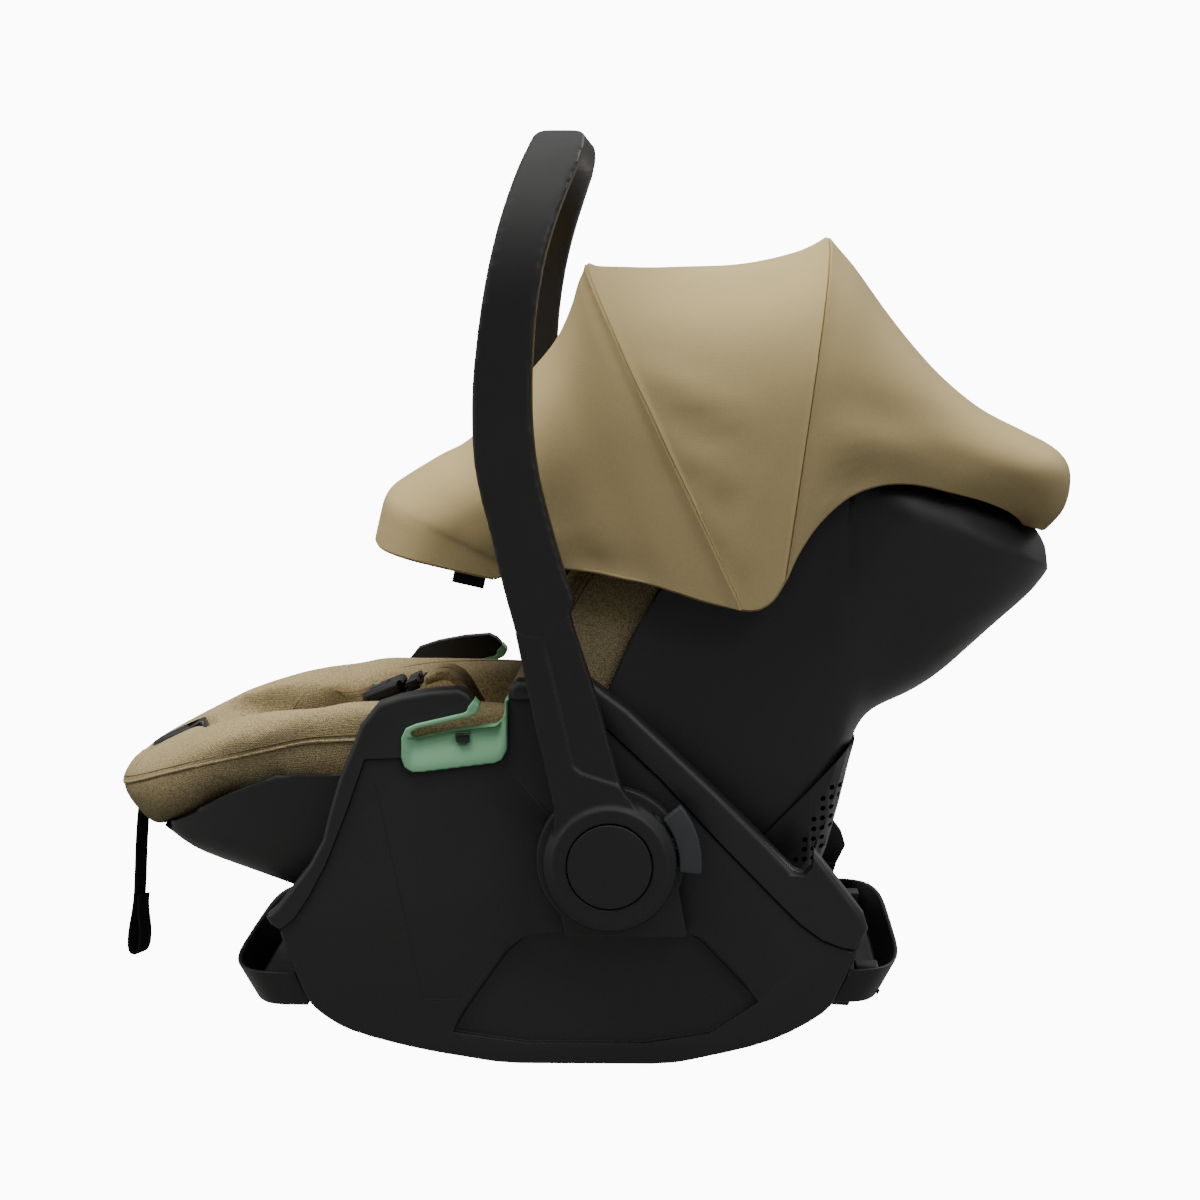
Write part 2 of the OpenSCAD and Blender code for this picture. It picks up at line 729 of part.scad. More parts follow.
headrest_from = 112;
headrest_wall = 4;
headrest_corner = 24;

module u_profile(half, low, top, corner, t) {
    difference() {
        union() {
            translate([-half, low + corner]) square([2 * half, top - low - corner]);
            translate([corner - half, low]) square([2 * (half - corner), corner + 1]);
            for (s = [-1, 1]) translate([s * (half - corner), low + corner]) circle(corner);
        }
        union() {
            translate([t - half, low + corner]) square([2 * (half - t), top - low]);
            translate([corner - half, low + t]) square([2 * (half - corner), corner]);
            for (s = [-1, 1])
                translate([s * (half - corner), low + corner]) circle(corner - t);
        }
    }
}

module headrest_shell() {
    tab = [22, 44, 4];
    color("#232325") at_back(headrest_from) {
        rotate([90, 0, 90]) linear_extrude(headrest_long)
            u_profile(headrest_half, 0.6, headrest_deep, headrest_corner, headrest_wall);
        translate([headrest_long - 1, -tab.y / 2, 0.6]) cube(tab);
    }
}

module headrest_pad() {
    t = headrest_wall + soft_gap;
    color("#b3a987") at_back(headrest_from + 3) rotate([90, 0, 90])
        linear_extrude(headrest_long - 6)
            u_profile(headrest_half - t, 0.6 + t, headrest_deep - 6, headrest_corner - t,
                headrest_pad_t);
}

// ---------------------------------------------------------------- harness

harness_in = 4;      // inner edge of each shoulder strap from the middle
strap_t = 2;
pad_t = 9;
buckle_at = [-150, 232.5];
buckle_slope = 22;
tongue_head = 9;
buckle_size = [32, 46, 14];
buckle_button_size = [14, 18, 4];
buckle_travel = 2.5;

// Point in the side view: s along the buckle from its middle, n above it
function on_buckle(s, n) = buckle_at
    + s * [cos(buckle_slope), sin(buckle_slope)] + n * [-sin(buckle_slope), cos(buckle_slope)];

module at_buckle() {
    translate([buckle_at.x, 0, buckle_at.y]) rotate([0, -buckle_slope, 0]) children();
}

module buckle() {
    mouth_deep = 12;
    color("#161617") at_buckle() difference() {
        hull() {
            cube(buckle_size - [0, 8, 4], center = true);
            cube(buckle_size - [8, 0, 4], center = true);
            cube(buckle_size - [6, 8, 0], center = true);
        }
        translate([-3, 0, buckle_size.z / 2 - buckle_button_size.z / 2 - 1])
            cube([buckle_button_size.x + 2 * side_gap, buckle_button_size.y + 2 * side_gap,
                buckle_button_size.z + 4], center = true);
        for (s = [-1, 1])
            translate([buckle_size.x / 2 - mouth_deep, s * 11 - 8, -2.5])
                cube([mouth_deep + cut, 16, 4]);
    }
}

module buckle_button() {
    color("#1f1f21") at_buckle()
        translate([-3, 0, buckle_size.z / 2 - buckle_button_size.z / 2 + 0.6])
            cube(buckle_button_size, center = true);
}

// Two metal-and-plastic tongues; their blades stand in the buckle's mouths
module tongues() {
    color("#1a1a1b") at_buckle() for (s = [-1, 1]) {
        translate([buckle_size.x / 2 - 10, s * 11 - 7, -2]) cube([13, 14, 3]);
        translate([buckle_size.x / 2 + 2, s * 15 - 11, -4.5]) cube([tongue_head, 22, 8]);
    }
}

// Shoulder strap in the side view, from the tongue over the lap to the back
strap_n = inlay_t + 4 * soft_gap + pad_t / 2;
strap_line = smooth([on_buckle(buckle_size.x / 2 + tongue_head + 2.5, -0.5), [-116, 245.6],
    [-107, 248.5], [-97, 245], [-89, 233], [-79, 213], [-60, 193],
    [-32, 158 + strap_n + 5], [-8, 160 + strap_n + 3], on_back(20, strap_n),
    on_back(60, strap_n), on_back(84, strap_n), on_back(98, strap_n - 1), on_back(105, 10),
    on_back(106, 1)], 3);
pad_from = 1;
pad_to = 30;

module straps_at(t, from, to) {
    on_both() slab(harness_in, harness_in + webbing_w)
        polygon(stretch(strap_line, t, from, to));
}

module shoulder_straps() {
    color("#242424") {
        straps_at(strap_t, 0, pad_from);
        straps_at(strap_t, pad_to, len(strap_line) - 1);
    }
}

module shoulder_pads() {
    color("#b3a987") straps_at(pad_t, pad_from, pad_to);
}

crotch_line = smooth([[-129, 171.5], [-144, 180], [-162, 194], [-173.5, 208],
    on_buckle(-buckle_size.x / 2 - 9, -3), on_buckle(-buckle_size.x / 2 - 0.33, 0)], 3);

module crotch_strap() {
    color("#242424") slab(-webbing_w / 2, webbing_w / 2) polygon(band(crotch_line, strap_t));
}

module crotch_pad() {
    line = [for (i = [1 : len(crotch_line) - 7])
        crotch_line[i] - side_normal(crotch_line, i) * (strap_t / 2 + soft_gap + 3.5)];
    color("#b3a987") slab(-webbing_w / 2 - 6, webbing_w / 2 + 6) polygon(band(line, 7));
}

lever_pin_r = 1.25;
lever_pin_x = lever_long / 2 - 2.5;

module harness_adjuster() {
    color("#131314") at_adjuster() difference() {
        translate([0, 0, -adjuster_deep + 0.3])
            linear_extrude(adjuster_deep + adjuster_proud - 0.3)
                oval(adjuster_long, adjuster_wide);
        translate([-lever_long / 2 - 0.5, -lever_wide / 2 - 0.5, -adjuster_deep + 1.5])
            cube([lever_long + 1, lever_wide + 1, 40]);
        translate([lever_pin_x, -lever_wide / 2 - 2.5, -1]) rotate([-90, 0, 0])
            cylinder(h = lever_wide + 5, r = lever_pin_r + run_fit, $fn = 24);
    }
}

module adjuster_lever() {
    color("#3a3b3e") at_adjuster() {
        difference() {
            translate([-lever_long / 2, -lever_wide / 2, -2.5])
                cube([lever_long, lever_wide, 4]);
            translate([lever_long / 2 - 1.2, -lever_wide / 2 - cut, -4])
                cube([4, lever_wide + 2 * cut, 3]);
        }
        translate([lever_pin_x, -lever_wide / 2 - 2.2, -1]) rotate([-90, 0, 0])
            cylinder(h = lever_wide + 4.4, r = lever_pin_r, $fn = 24);
    }
}

// Free pull strap under the nose of the leg cushion
strap_route = [[-326, 0, 152], [-326.3, 0, 145], [-326.6, 0, 138], [-326.9, 0, 131],
    [-327.2, 0, 124], [-327.5, 0, 117], [-327.8, 0, 110], [-328.1, 0, 103], [-328.4, 0, 96],
    [-328.7, 0, 89], [-329, 0, 82], [-329.3, 0, 75], [-329.6, 0, 68], [-329.9, 0, 61],
    [-330.2, 0, 54], [-330.4, 0, 47]];
pull_w = 16;
pull_t = 2.6;
pull_turn = 24;       // the strap hangs turned by this angle from square across

module pull_strap() {
    turn = [sin(pull_turn), cos(pull_turn), 0];
    thin = [cos(pull_turn), -sin(pull_turn), 0];
    color("#242424") loft([for (p = strap_route)
        [for (k = [0 : 9]) p - pull_w / 2 * cos(36 * k) * turn + pull_t / 2 * sin(36 * k) * thin]
    ]);
}

module strap_tab() {
    tab = [9, 21, 33];
    low = strap_route[len(strap_route) - 1];
    color("#1b1b1c") difference() {
        translate(low + [0.8, 0, tab.z / 2 - 0.5]) rotate([0, 0, -pull_turn]) hull() {
            cube([tab.x, tab.y - 6, tab.z - 6], center = true);
            cube([tab.x - 5, tab.y, tab.z - 6], center = true);
            cube([tab.x - 5, tab.y - 6, tab.z], center = true);
        }
        translate(low + [0.8, 0, tab.z / 2 - 0.5]) rotate([0, 0, -pull_turn])
            cube([pull_t + 2.2, pull_w + 1, tab.z + 2], center = true);
    }
}

// ---------------------------------------------------------------- canopy

// One row: peak x and z on the middle line, foot x and z at the hem, half width at the hem
visor_rows = [
    [-151, 351, -62, 331, canopy_half - 4], [-147.5, 367, -55, 333.5, canopy_half - 4],
    [-144, 380, -48, 336, canopy_half - 4], [-136.5, 387, -42, 337.5, canopy_half - 3],
    [-112, 402, -28, 339, canopy_half - 3],
    [-88, 415, -10, 338, canopy_half - 2], [-62, 442, 8, 335.5, canopy_half - 2],
    [-43, 465, 24, 332, canopy_half - 1], [-25, 487, 42, 328.5, canopy_half - 1],
    [-14, 510, 60, 323, canopy_half], [-8, 530, 82, 316, canopy_half],
    [-3, 539, 104, 311, canopy_half]
];
middle_rows = [
    [-3 + side_gap, 539, 104 + side_gap, 311, canopy_half], [22, 538.5, 108, 310.5, canopy_half],
    [52, 538, 112, 310.5, canopy_half], [101, 540, 118, 312, canopy_half],
    [145, 549, 126, 318, canopy_half],
    [167 - side_gap, 559, 134 - side_gap, 331, canopy_half]
];
rear_rows = [
    [167, 559, 134, 331, canopy_half], [184, 540, 143, 350, canopy_half - 1],
    [206, 509, 157, 370, canopy_half - 3], [226, 484, 177, 387, canopy_half - 7],
    [249, 460, 199, 394.5, canopy_half - 11], [278, 437, 222, 394.5, canopy_half - 16],
    [308, 421, 246, 389, canopy_half - 22], [328, 410, 268, 383, canopy_half - 31],
    [335, 396, 285, 376, canopy_half - 42], [331, 375, 294, 370, canopy_half - 52],
    [317, 359, 299, 365, canopy_half - 60]
];
arch = smooth([[0, 1], [0.35, 1], [0.64, 0.97], [0.84, 0.84], [0.95, 0.58], [0.99, 0.3],
    [1, 0]], 2);
arch_across = concat(arch, [for (i = [len(arch) - 2 : -1 : 0]) [arch[i].x, -arch[i].y]]);

// Outer line of one rib of the canopy, from hem to hem
function rib(row) = [for (a = arch_across)
    [row[2] + (row[0] - row[2]) * a.x, -row[4] * a.y, row[3] + (row[1] - row[3]) * a.x]];

// The same line on the inner face of the fabric
canopy_middle_point = [70, 0, 350];
function lined(p, t) = [for (q = p) q - t * unit(q - canopy_middle_point)];

function quad(a, b, c, d) = [[a, b, c], [a, c, d]];

// Closed skin between two grids of points of the same size
module skin(outer, inner) {
    n = len(outer);
    m = len(outer[0]);
    in = n * m;
    last = (n - 1) * m;
    points = concat([for (r = outer) each r], [for (r = inner) each r]);
    faces = [for (i = [0 : n - 2], j = [0 : m - 2]) let (a = i * m + j) each concat(
        quad(a, a + 1, a + m + 1, a + m), quad(in + a, in + a + m, in + a + m + 1, in + a + 1))];
    hems = [for (i = [0 : n - 2]) let (a = i * m, b = a + m - 1) each concat(
        quad(a, a + m, in + a + m, in + a), quad(b + m, b, in + b, in + b + m))];
    ends = [for (j = [0 : m - 2]) each concat(
        quad(j + 1, j, in + j, in + j + 1),
        quad(last + j, last + j + 1, in + last + j + 1, in + last + j))];
    polyhedron(points, concat(faces, hems, ends));
}

// Fabric between the ribs' outer lines and the same lines on its inner face
module fabric_panel(rows) {
    ribs = [for (row = smooth(rows, 2)) rib(row)];
    color("#b7aa80") skin(ribs, [for (r = ribs) lined(r, fabric_t)]);
}

bow_layer_t = 5;
function bow_layer(n) = shell_back_half + 3 + n * (bow_layer_t + side_gap);
bow_inset = fabric_t + bow_r + 1.6;
flare_from = 0.18;
flare_to = 0.42;

// How far a bow's leg has left its place on the pin, at share h of its reach
function flare(h) = let (t = min(max((h - flare_from) / (flare_to - flare_from), 0), 1))
    t * t * (3 - 2 * t);

// Centre line of a bow from pin to pin, with its peak at the side-view point peak
function bow_line(peak, layer) =
    let (from = [canopy_pivot.x, canopy_pivot.y], start = 0.03)
    [for (a = arch_across)
        let (h = start + (1 - start) * a.x, y = bow_layer(layer) + bow_layer_t / 2)
        let (wide = canopy_half - fabric_t - bow_r - 1.6)
        [from.x + (peak.x - from.x) * h,
            -(a.y == 0 ? 0 : a.x < 0.5 ? sign(a.y) * (y + (wide * abs(a.y) - y) * flare(h))
                : wide * a.y),
            from.y + (peak.y - from.y) * h]];

function drawn_in(peak, t) = peak - t * unit(peak - canopy_pivot);

module bow_eyes(layer) {
    on_both() difference() {
        rod(canopy_pivot, bow_layer(layer), bow_layer(layer) + bow_layer_t, canopy_pin_r + 5);
        rod(canopy_pivot, bow_layer(layer) - cut, bow_layer(layer) + bow_layer_t + cut,
            canopy_pin_r + run_fit);
    }
}

module bow(line, layer, across) {
    color("#2a2a2c") {
        difference() {
            tube(line, bow_r, across);
            on_both() rod(canopy_pivot, 0, 400, canopy_pin_r + 2);
        }
        bow_eyes(layer);
    }
}

front_peak = [middle_rows[0][0] - side_gap, middle_rows[0][1]];
rear_peak = [rear_rows[0][0], rear_rows[0][1]];

module rear_bow() {
    bow(bow_line(drawn_in(rear_peak, bow_inset + 5), 0), 0, [1, 0, 0]);
}

module front_bow() {
    bow(bow_line(drawn_in(front_peak + [3, 0], bow_inset + 0.5), 1), 1, [1, 0, 0]);
}

// Hoop in the front edge of the visor; its legs run back inside the hem to the pins
hoop_row = [visor_rows[1][0] + 7, visor_rows[1][1] - 5, visor_rows[1][2] + 5,
    visor_rows[1][3] + 8, visor_rows[1][4] - fabric_t - bow_r - 0.8];

module visor_hoop() {
    y = bow_layer(2) + bow_layer_t / 2;
    start = [canopy_pivot.x - 8, -y, canopy_pivot.y + 1];
    half_leg = [start, [60, -y, 331], [30, -(y + hoop_row[4]) / 2, 337], [0, -hoop_row[4], 342]];
    leg = smooth(concat(half_leg, [rib(hoop_row)[0]]), 2);
    back = [for (p = reversed(leg)) [p.x, -p.y, p.z]];
    front = rib(hoop_row);
    bow(concat([for (i = [0 : len(leg) - 2]) leg[i]], front,
        [for (i = [1 : len(back) - 1]) back[i]]), 2, [0, 0, 1]);
}

module canopy_rear() {
    fabric_panel(rear_rows);
}

module canopy_middle() {
    fabric_panel(middle_rows);
}

module canopy_visor() {
    fabric_panel(visor_rows);
}

module tag() {
    size = [22, 1, 9];
    rim = [visor_rows[0][0] - visor_rows[0][2], visor_rows[0][1] - visor_rows[0][3]];
    color("#222224")
        translate([visor_rows[0][2] - 5, -visor_rows[0][4] + 0.5, visor_rows[0][3] + 1.3])
            rotate([0, 180 - atan2(rim.y, rim.x), 0])
                translate([-size.x, 0, -size.z]) cube(size);
}

base_floor();
front_tray();
rear_tray();
side_panel();  // side_panel_left
on_right() side_panel();  // side_panel_right
front_trim();  // front_trim_left
on_right() front_trim();  // front_trim_right
rail();  // rail_left
on_right() rail();  // rail_right
belt_guide();  // belt_guide_left
on_right() belt_guide();  // belt_guide_right
guide_catch();  // guide_catch_left
on_right() guide_catch();  // guide_catch_right
pivot_housing();  // pivot_housing_left
on_right() pivot_housing();  // pivot_housing_right
housing_screws();
axles();
lock_plates();
axle_screws();
rear_hooks();
seat_shell();
vent_cover();
seat_liner();
leg_cushion();
bolster();  // bolster_left
on_right() bolster();  // bolster_right
side_wing();  // side_wing_left
on_right() side_wing();  // side_wing_right
seat_inlay();
recline_bushes();
canopy_pins();
buckle();
tongues();
crotch_strap();
crotch_pad();
shoulder_straps();
shoulder_pads();
harness_adjuster();
pull_strap();
strap_tab();
headrest_shell();
headrest_pad();
handle_bow();
handle_leg();  // handle_leg_left
on_right() handle_leg();  // handle_leg_right
leg_insets();
hub_caps();
handle_button();  // handle_button_left
on_right() handle_button();  // handle_button_right
button_spring();  // button_spring_left
on_right() button_spring();  // button_spring_right
buckle_button();
adjuster_lever();
canopy_rear();
canopy_middle();
canopy_visor();
rear_bow();
front_bow();
visor_hoop();
tag();
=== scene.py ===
# %% [markdown]
# # Infant car seat with carry handle and canopy
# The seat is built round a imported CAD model. That model fixes every size and every joint, so each
# piece below starts from a CAD body and rides on it. Here the pieces get what a drawing leaves out:
# rounded moulding edges, cloth that is stretched over bows, stuffed padding, seams and finishes.

# %% Load the frame
import bpy
import bmesh
import math
import numpy as np
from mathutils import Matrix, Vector, noise
from mathutils.bvhtree import BVHTree


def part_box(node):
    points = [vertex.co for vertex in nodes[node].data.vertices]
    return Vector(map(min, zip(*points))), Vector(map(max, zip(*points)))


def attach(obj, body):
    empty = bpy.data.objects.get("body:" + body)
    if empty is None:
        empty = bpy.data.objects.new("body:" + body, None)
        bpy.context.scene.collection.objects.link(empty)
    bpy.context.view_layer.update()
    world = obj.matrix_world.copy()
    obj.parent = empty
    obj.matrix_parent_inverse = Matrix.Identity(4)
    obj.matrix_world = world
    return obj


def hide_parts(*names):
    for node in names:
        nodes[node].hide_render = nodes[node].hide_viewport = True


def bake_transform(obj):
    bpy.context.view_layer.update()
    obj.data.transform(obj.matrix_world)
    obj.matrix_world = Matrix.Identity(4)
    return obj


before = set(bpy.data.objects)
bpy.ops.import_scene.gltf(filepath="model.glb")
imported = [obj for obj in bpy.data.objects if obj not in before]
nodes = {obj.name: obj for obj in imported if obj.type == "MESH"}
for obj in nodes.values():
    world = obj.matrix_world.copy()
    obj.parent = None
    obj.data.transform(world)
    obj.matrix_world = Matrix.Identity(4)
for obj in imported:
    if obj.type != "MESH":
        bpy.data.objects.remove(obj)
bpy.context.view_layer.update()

# %% [markdown]
# ## Camera, light and floor
# The seat is seen square from its left side, from a little above and from far away, so the lens is
# long and lines hardly converge. A large soft box overhead makes the tops bright. To both sides
# the sky is bright only for reflections, so the flat black faces stay dark while every rounded
# edge catches light.

# %% Camera
bpy.ops.object.camera_add(location=(0.070, -2.467, 0.535))
camera = bpy.context.object
camera.name = "camera"
aim = Vector((0.005, 0, 0.300)) - camera.location
camera.rotation_euler = aim.to_track_quat("-Z", "Y").to_euler()
camera.data.lens = 102.8
camera.data.sensor_width = 36
bpy.context.scene.camera = camera
print("camera looks along", [round(v, 3) for v in aim.normalized()])

# %% Soft studio light
def soft_box(name, place, target, size, power):
    bpy.ops.object.light_add(type="AREA", location=place)
    light = bpy.context.object
    light.name = name
    light.rotation_euler = (Vector(target) - Vector(place)).to_track_quat("-Z", "Y").to_euler()
    light.data.shape = "RECTANGLE"
    light.data.size = light.data.size_y = size
    light.data.energy = power
    return light


top_light = soft_box("light_top", (-0.50, -0.15, 2.2), (0.0, 0, 0.3), 1.8, 70)
top_light.visible_glossy = False
top_light.data.color = (1.0, 0.955, 0.86)
soft_box("light_left", (-2.6, -1.3, 1.3), (0.0, 0, 0.25), 1.4, 3)
soft_box("light_right", (2.4, -1.6, 1.4), (0.1, 0, 0.3), 1.2, 5)
soft_box("light_back", (1.6, 1.8, 1.7), (0.0, 0, 0.3), 1.2, 18)
soft_box("light_lip", (1.1, -1.5, 1.7), (0.22, -0.15, 0.35), 0.7, 8)
print("soft boxes hung")

# %% [markdown]
# The sky, the floor and every finish are made of shader nodes, so a few short helpers place nodes,
# set their inputs and link them.

# %% Node helpers
def set_inputs(made, values):
    for key, value in values.items():
        made.inputs[key].default_value = value


def node(tree, kind, values=None, **settings):
    made = tree.nodes.new(kind)
    for key, value in settings.items():
        setattr(made, key, value)
    set_inputs(made, values or {})
    return made


def link(tree, *wires):
    """Links nodes; a wire is a node and its output, and a node and its input"""
    for source, output, target, entry in wires:
        tree.links.new(source.outputs[output], target.inputs[entry])


def math_node(tree, operation, first, second):
    made = node(tree, "ShaderNodeMath", operation=operation)
    for socket, value in zip(made.inputs, (first, second)):
        if isinstance(value, (int, float)):
            socket.default_value = value
        else:
            tree.links.new(value, socket)
    return made.outputs[0]


def new_material(name):
    made = bpy.data.materials.new(name)
    made.use_nodes = True
    return made, made.node_tree, made.node_tree.nodes["Principled BSDF"]


# %% Sky
SKY_FILL, SKY_ABOVE = 0.05, 0.78
SHINE_SIDES, SHINE_RIGHT_SHARE, SHINE_ABOVE = 0.9, 0.3, 1.3
SKY_SEEN = 14.0

world = bpy.data.worlds.new("studio")
bpy.context.scene.world = world
world.use_nodes = True
sky = world.node_tree
sky.nodes.clear()


def sky_math(operation, first, second):
    return math_node(sky, operation, first, second)


def sky_power(value, exponent, strength):
    return sky_math("MULTIPLY", sky_math("POWER", value, exponent), strength)


sky_place = node(sky, "ShaderNodeTexCoord")
sky_axes = node(sky, "ShaderNodeSeparateXYZ")
sky_ray = node(sky, "ShaderNodeLightPath")
link(sky, (sky_place, "Generated", sky_axes, 0))
up = sky_math("MAXIMUM", sky_axes.outputs["Z"], 0.0)
leftwards = sky_math("MAXIMUM", sky_math("MULTIPLY", sky_axes.outputs["X"], -1.0), 0.0)
rightwards = sky_math("MAXIMUM", sky_axes.outputs["X"], 0.0)
sideways = sky_math("ADD", sky_math("POWER", leftwards, 4.0),
                    sky_power(rightwards, 4.0, SHINE_RIGHT_SHARE))
sky_fill = sky_math("ADD", SKY_FILL, sky_math("MULTIPLY", up, SKY_ABOVE))
shine = sky_math("ADD", sky_math("MULTIPLY", sideways, SHINE_SIDES), sky_power(up, 3.0, SHINE_ABOVE))
shine = sky_math("MULTIPLY", shine, sky_ray.outputs["Is Glossy Ray"])
seen = sky_math("MULTIPLY", sky_ray.outputs["Is Camera Ray"], SKY_SEEN)
background = node(sky, "ShaderNodeBackground")
sky.links.new(sky_math("ADD", sky_math("ADD", sky_fill, shine), seen), background.inputs["Strength"])
link(sky, (background, 0, node(sky, "ShaderNodeOutputWorld"), "Surface"))
print("sky ready")

# %% Floor
FLOOR_SEEN, FLOOR_MIRRORED = 11.0, 0.36

bpy.ops.mesh.primitive_plane_add(size=30, location=(0, 0, -0.0005))
floor = bpy.context.object
floor.name = "floor"
pale, floor_tree, floor_shader = new_material("pale_floor")
set_inputs(floor_shader, {"Base Color": (0.10, 0.10, 0.10, 1), "Roughness": 0.9,
                          "Specular IOR Level": 0.0})
floor_ray = node(floor_tree, "ShaderNodeLightPath")
glow = node(floor_tree, "ShaderNodeEmission")
both = node(floor_tree, "ShaderNodeAddShader")
glow_parts = [math_node(floor_tree, "MULTIPLY", floor_ray.outputs[ray], strength)
              for ray, strength in (("Is Camera Ray", FLOOR_SEEN), ("Is Glossy Ray", FLOOR_MIRRORED))]
floor_tree.links.new(math_node(floor_tree, "ADD", *glow_parts), glow.inputs["Strength"])
link(floor_tree, (floor_shader, 0, both, 0), (glow, 0, both, 1),
     (both, 0, floor_tree.nodes["Material Output"], "Surface"))
floor.data.materials.append(pale)
print("floor", floor.dimensions[:])

# %% [markdown]
# ## Shared patterns
# Two effects come back on many finishes, so each is a node group that is made once: the fine leather
# grain that a steel mould leaves on plastic, and the cross-thread of a cloth. A group only gives
# values, normals and colours, and each finish decides what it does with them.

# %% Moulded grain
def new_group(name, inputs, outputs):
    group = bpy.data.node_groups.new(name, "ShaderNodeTree")
    for label, value in inputs:
        socket = group.interface.new_socket(name=label, in_out="INPUT",
                                            socket_type="NodeSocketFloat")
        socket.default_value = value
    for label, kind in outputs:
        group.interface.new_socket(name=label, in_out="OUTPUT", socket_type="NodeSocket" + kind)
    return group, group.nodes.new("NodeGroupInput"), group.nodes.new("NodeGroupOutput")


grain, grain_in, grain_out = new_group("moulded_grain", [("Scale", 1400.0), ("Depth", 0.12)],
                                       [("Normal", "Vector"), ("Patch", "Float")])
grain_place = node(grain, "ShaderNodeTexCoord")
grain_cells = node(grain, "ShaderNodeTexVoronoi", feature="SMOOTH_F1")
grain_bump = node(grain, "ShaderNodeBump", {"Distance": 0.0002})
grain_patch = node(grain, "ShaderNodeTexNoise", {"Scale": 22.0, "Detail": 4.0, "Roughness": 0.6})
link(grain, (grain_place, "Object", grain_cells, "Vector"), (grain_in, "Scale", grain_cells, "Scale"),
     (grain_cells, "Distance", grain_bump, "Height"), (grain_in, "Depth", grain_bump, "Strength"),
     (grain_place, "Object", grain_patch, "Vector"), (grain_bump, "Normal", grain_out, "Normal"),
     (grain_patch, "Fac", grain_out, "Patch"))
print("group", grain.name)

# %% Woven and knitted cloth
weave, weave_in, weave_out = new_group(
    "cloth_weave", [("Thread", 900.0), ("Depth", 0.4), ("Fleck", 420.0)],
    [("Normal", "Vector"), ("Fleck", "Float"), ("Cloud", "Float"), ("Thread", "Float")])
weave_place = node(weave, "ShaderNodeTexCoord")
weave_axes = node(weave, "ShaderNodeSeparateXYZ")
fleck = node(weave, "ShaderNodeTexNoise", {"Detail": 3.0, "Roughness": 0.75})
cloud = node(weave, "ShaderNodeTexNoise", {"Scale": 9.0, "Detail": 3.0, "Roughness": 0.5})
weave_bump = node(weave, "ShaderNodeBump", {"Distance": 0.00025})


def thread_wave(axis):
    along = math_node(weave, "MULTIPLY", weave_axes.outputs[axis], weave_in.outputs["Thread"])
    return math_node(weave, "SINE", along, 0.0)


crossings = [math_node(weave, "MULTIPLY", thread_wave(first), thread_wave(second))
             for first, second in ("XZ", "ZY", "XY")]
threads = math_node(weave, "ADD", math_node(weave, "ADD", *crossings[:2]), crossings[2])
height = math_node(weave, "ADD", threads, math_node(weave, "MULTIPLY", fleck.outputs["Fac"], 2.0))
link(weave, (weave_place, "Object", weave_axes, 0), (weave_place, "Object", fleck, "Vector"),
     (weave_in, "Fleck", fleck, "Scale"), (weave_place, "Object", cloud, "Vector"),
     (weave_in, "Depth", weave_bump, "Strength"), (weave_bump, "Normal", weave_out, "Normal"),
     (fleck, "Fac", weave_out, "Fleck"), (cloud, "Fac", weave_out, "Cloud"))
weave.links.new(height, weave_bump.inputs["Height"])
weave.links.new(threads, weave_out.inputs["Thread"])
print("group", weave.name)

# %% [markdown]
# ## Finishes
# Almost everything hard on this seat is polypropylene or glass-filled nylon in near black, and only
# the grain and the gloss differ: matt on the big panels, smoother on the handle, glossy on the
# touch parts. Near-black plastic shows its form by its sheen, so roughness matters more than colour.

# %% Plastic finishes
COOL = 1.04


def two_colours(tree, dark, light):
    return node(tree, "ShaderNodeMix", {"A": (*dark, 1), "B": (*light, 1)}, data_type="RGBA")


def plastic(name, dark, light, rough_low, rough_high, grain_scale, grain_depth, specular=0.5):
    """A plastic between two colours; a black is given by one number"""
    made, tree, shader = new_material(name)
    if isinstance(dark, float):
        dark, light = (dark, dark, dark * COOL), (light, light, light * COOL)
    pattern = node(tree, "ShaderNodeGroup", {"Scale": grain_scale, "Depth": grain_depth},
                   node_tree=grain)
    colour = two_colours(tree, dark, light)
    rough = node(tree, "ShaderNodeMapRange", {"From Min": 0.3, "From Max": 0.7,
                                              "To Min": rough_low, "To Max": rough_high})
    link(tree, (pattern, "Patch", colour, "Factor"), (pattern, "Patch", rough, "Value"),
         (colour, "Result", shader, "Base Color"), (rough, "Result", shader, "Roughness"),
         (pattern, "Normal", shader, "Normal"))
    shader.inputs["Specular IOR Level"].default_value = specular
    return made


panel_black = plastic("panel_black", 0.0125, 0.0150, 0.48, 0.58, 1300, 0.18, 0.42)
trim_black = plastic("trim_black", 0.0120, 0.0145, 0.40, 0.48, 1500, 0.12, 0.45)
handle_black = plastic("handle_black", 0.0105, 0.0125, 0.44, 0.52, 1600, 0.10, 0.40)
shell_black = plastic("shell_black", 0.0110, 0.0130, 0.42, 0.52, 1400, 0.14, 0.42)
gloss_black = plastic("gloss_black", 0.0070, 0.0090, 0.22, 0.30, 900, 0.04, 0.5)
tray_black = plastic("tray_black", 0.0085, 0.0105, 0.42, 0.52, 1400, 0.12, 0.38)
mint_plastic = plastic("mint_plastic", (0.240, 0.545, 0.318), (0.260, 0.575, 0.340),
                       0.36, 0.44, 1500, 0.08, 0.5)
button_grey = plastic("button_grey", (0.040, 0.043, 0.048), (0.046, 0.049, 0.054),
                      0.40, 0.46, 1500, 0.08, 0.45)
bush_nylon = plastic("bush_nylon", (0.60, 0.60, 0.56), (0.66, 0.66, 0.62), 0.4, 0.5, 1200, 0.05)
print("plastics ready")

# %% Steel finish
steel = plastic("zinc_steel", (0.50, 0.51, 0.52), (0.62, 0.63, 0.64), 0.28, 0.40, 2200, 0.05)
steel.node_tree.nodes["Principled BSDF"].inputs["Metallic"].default_value = 1.0
print("steel ready")

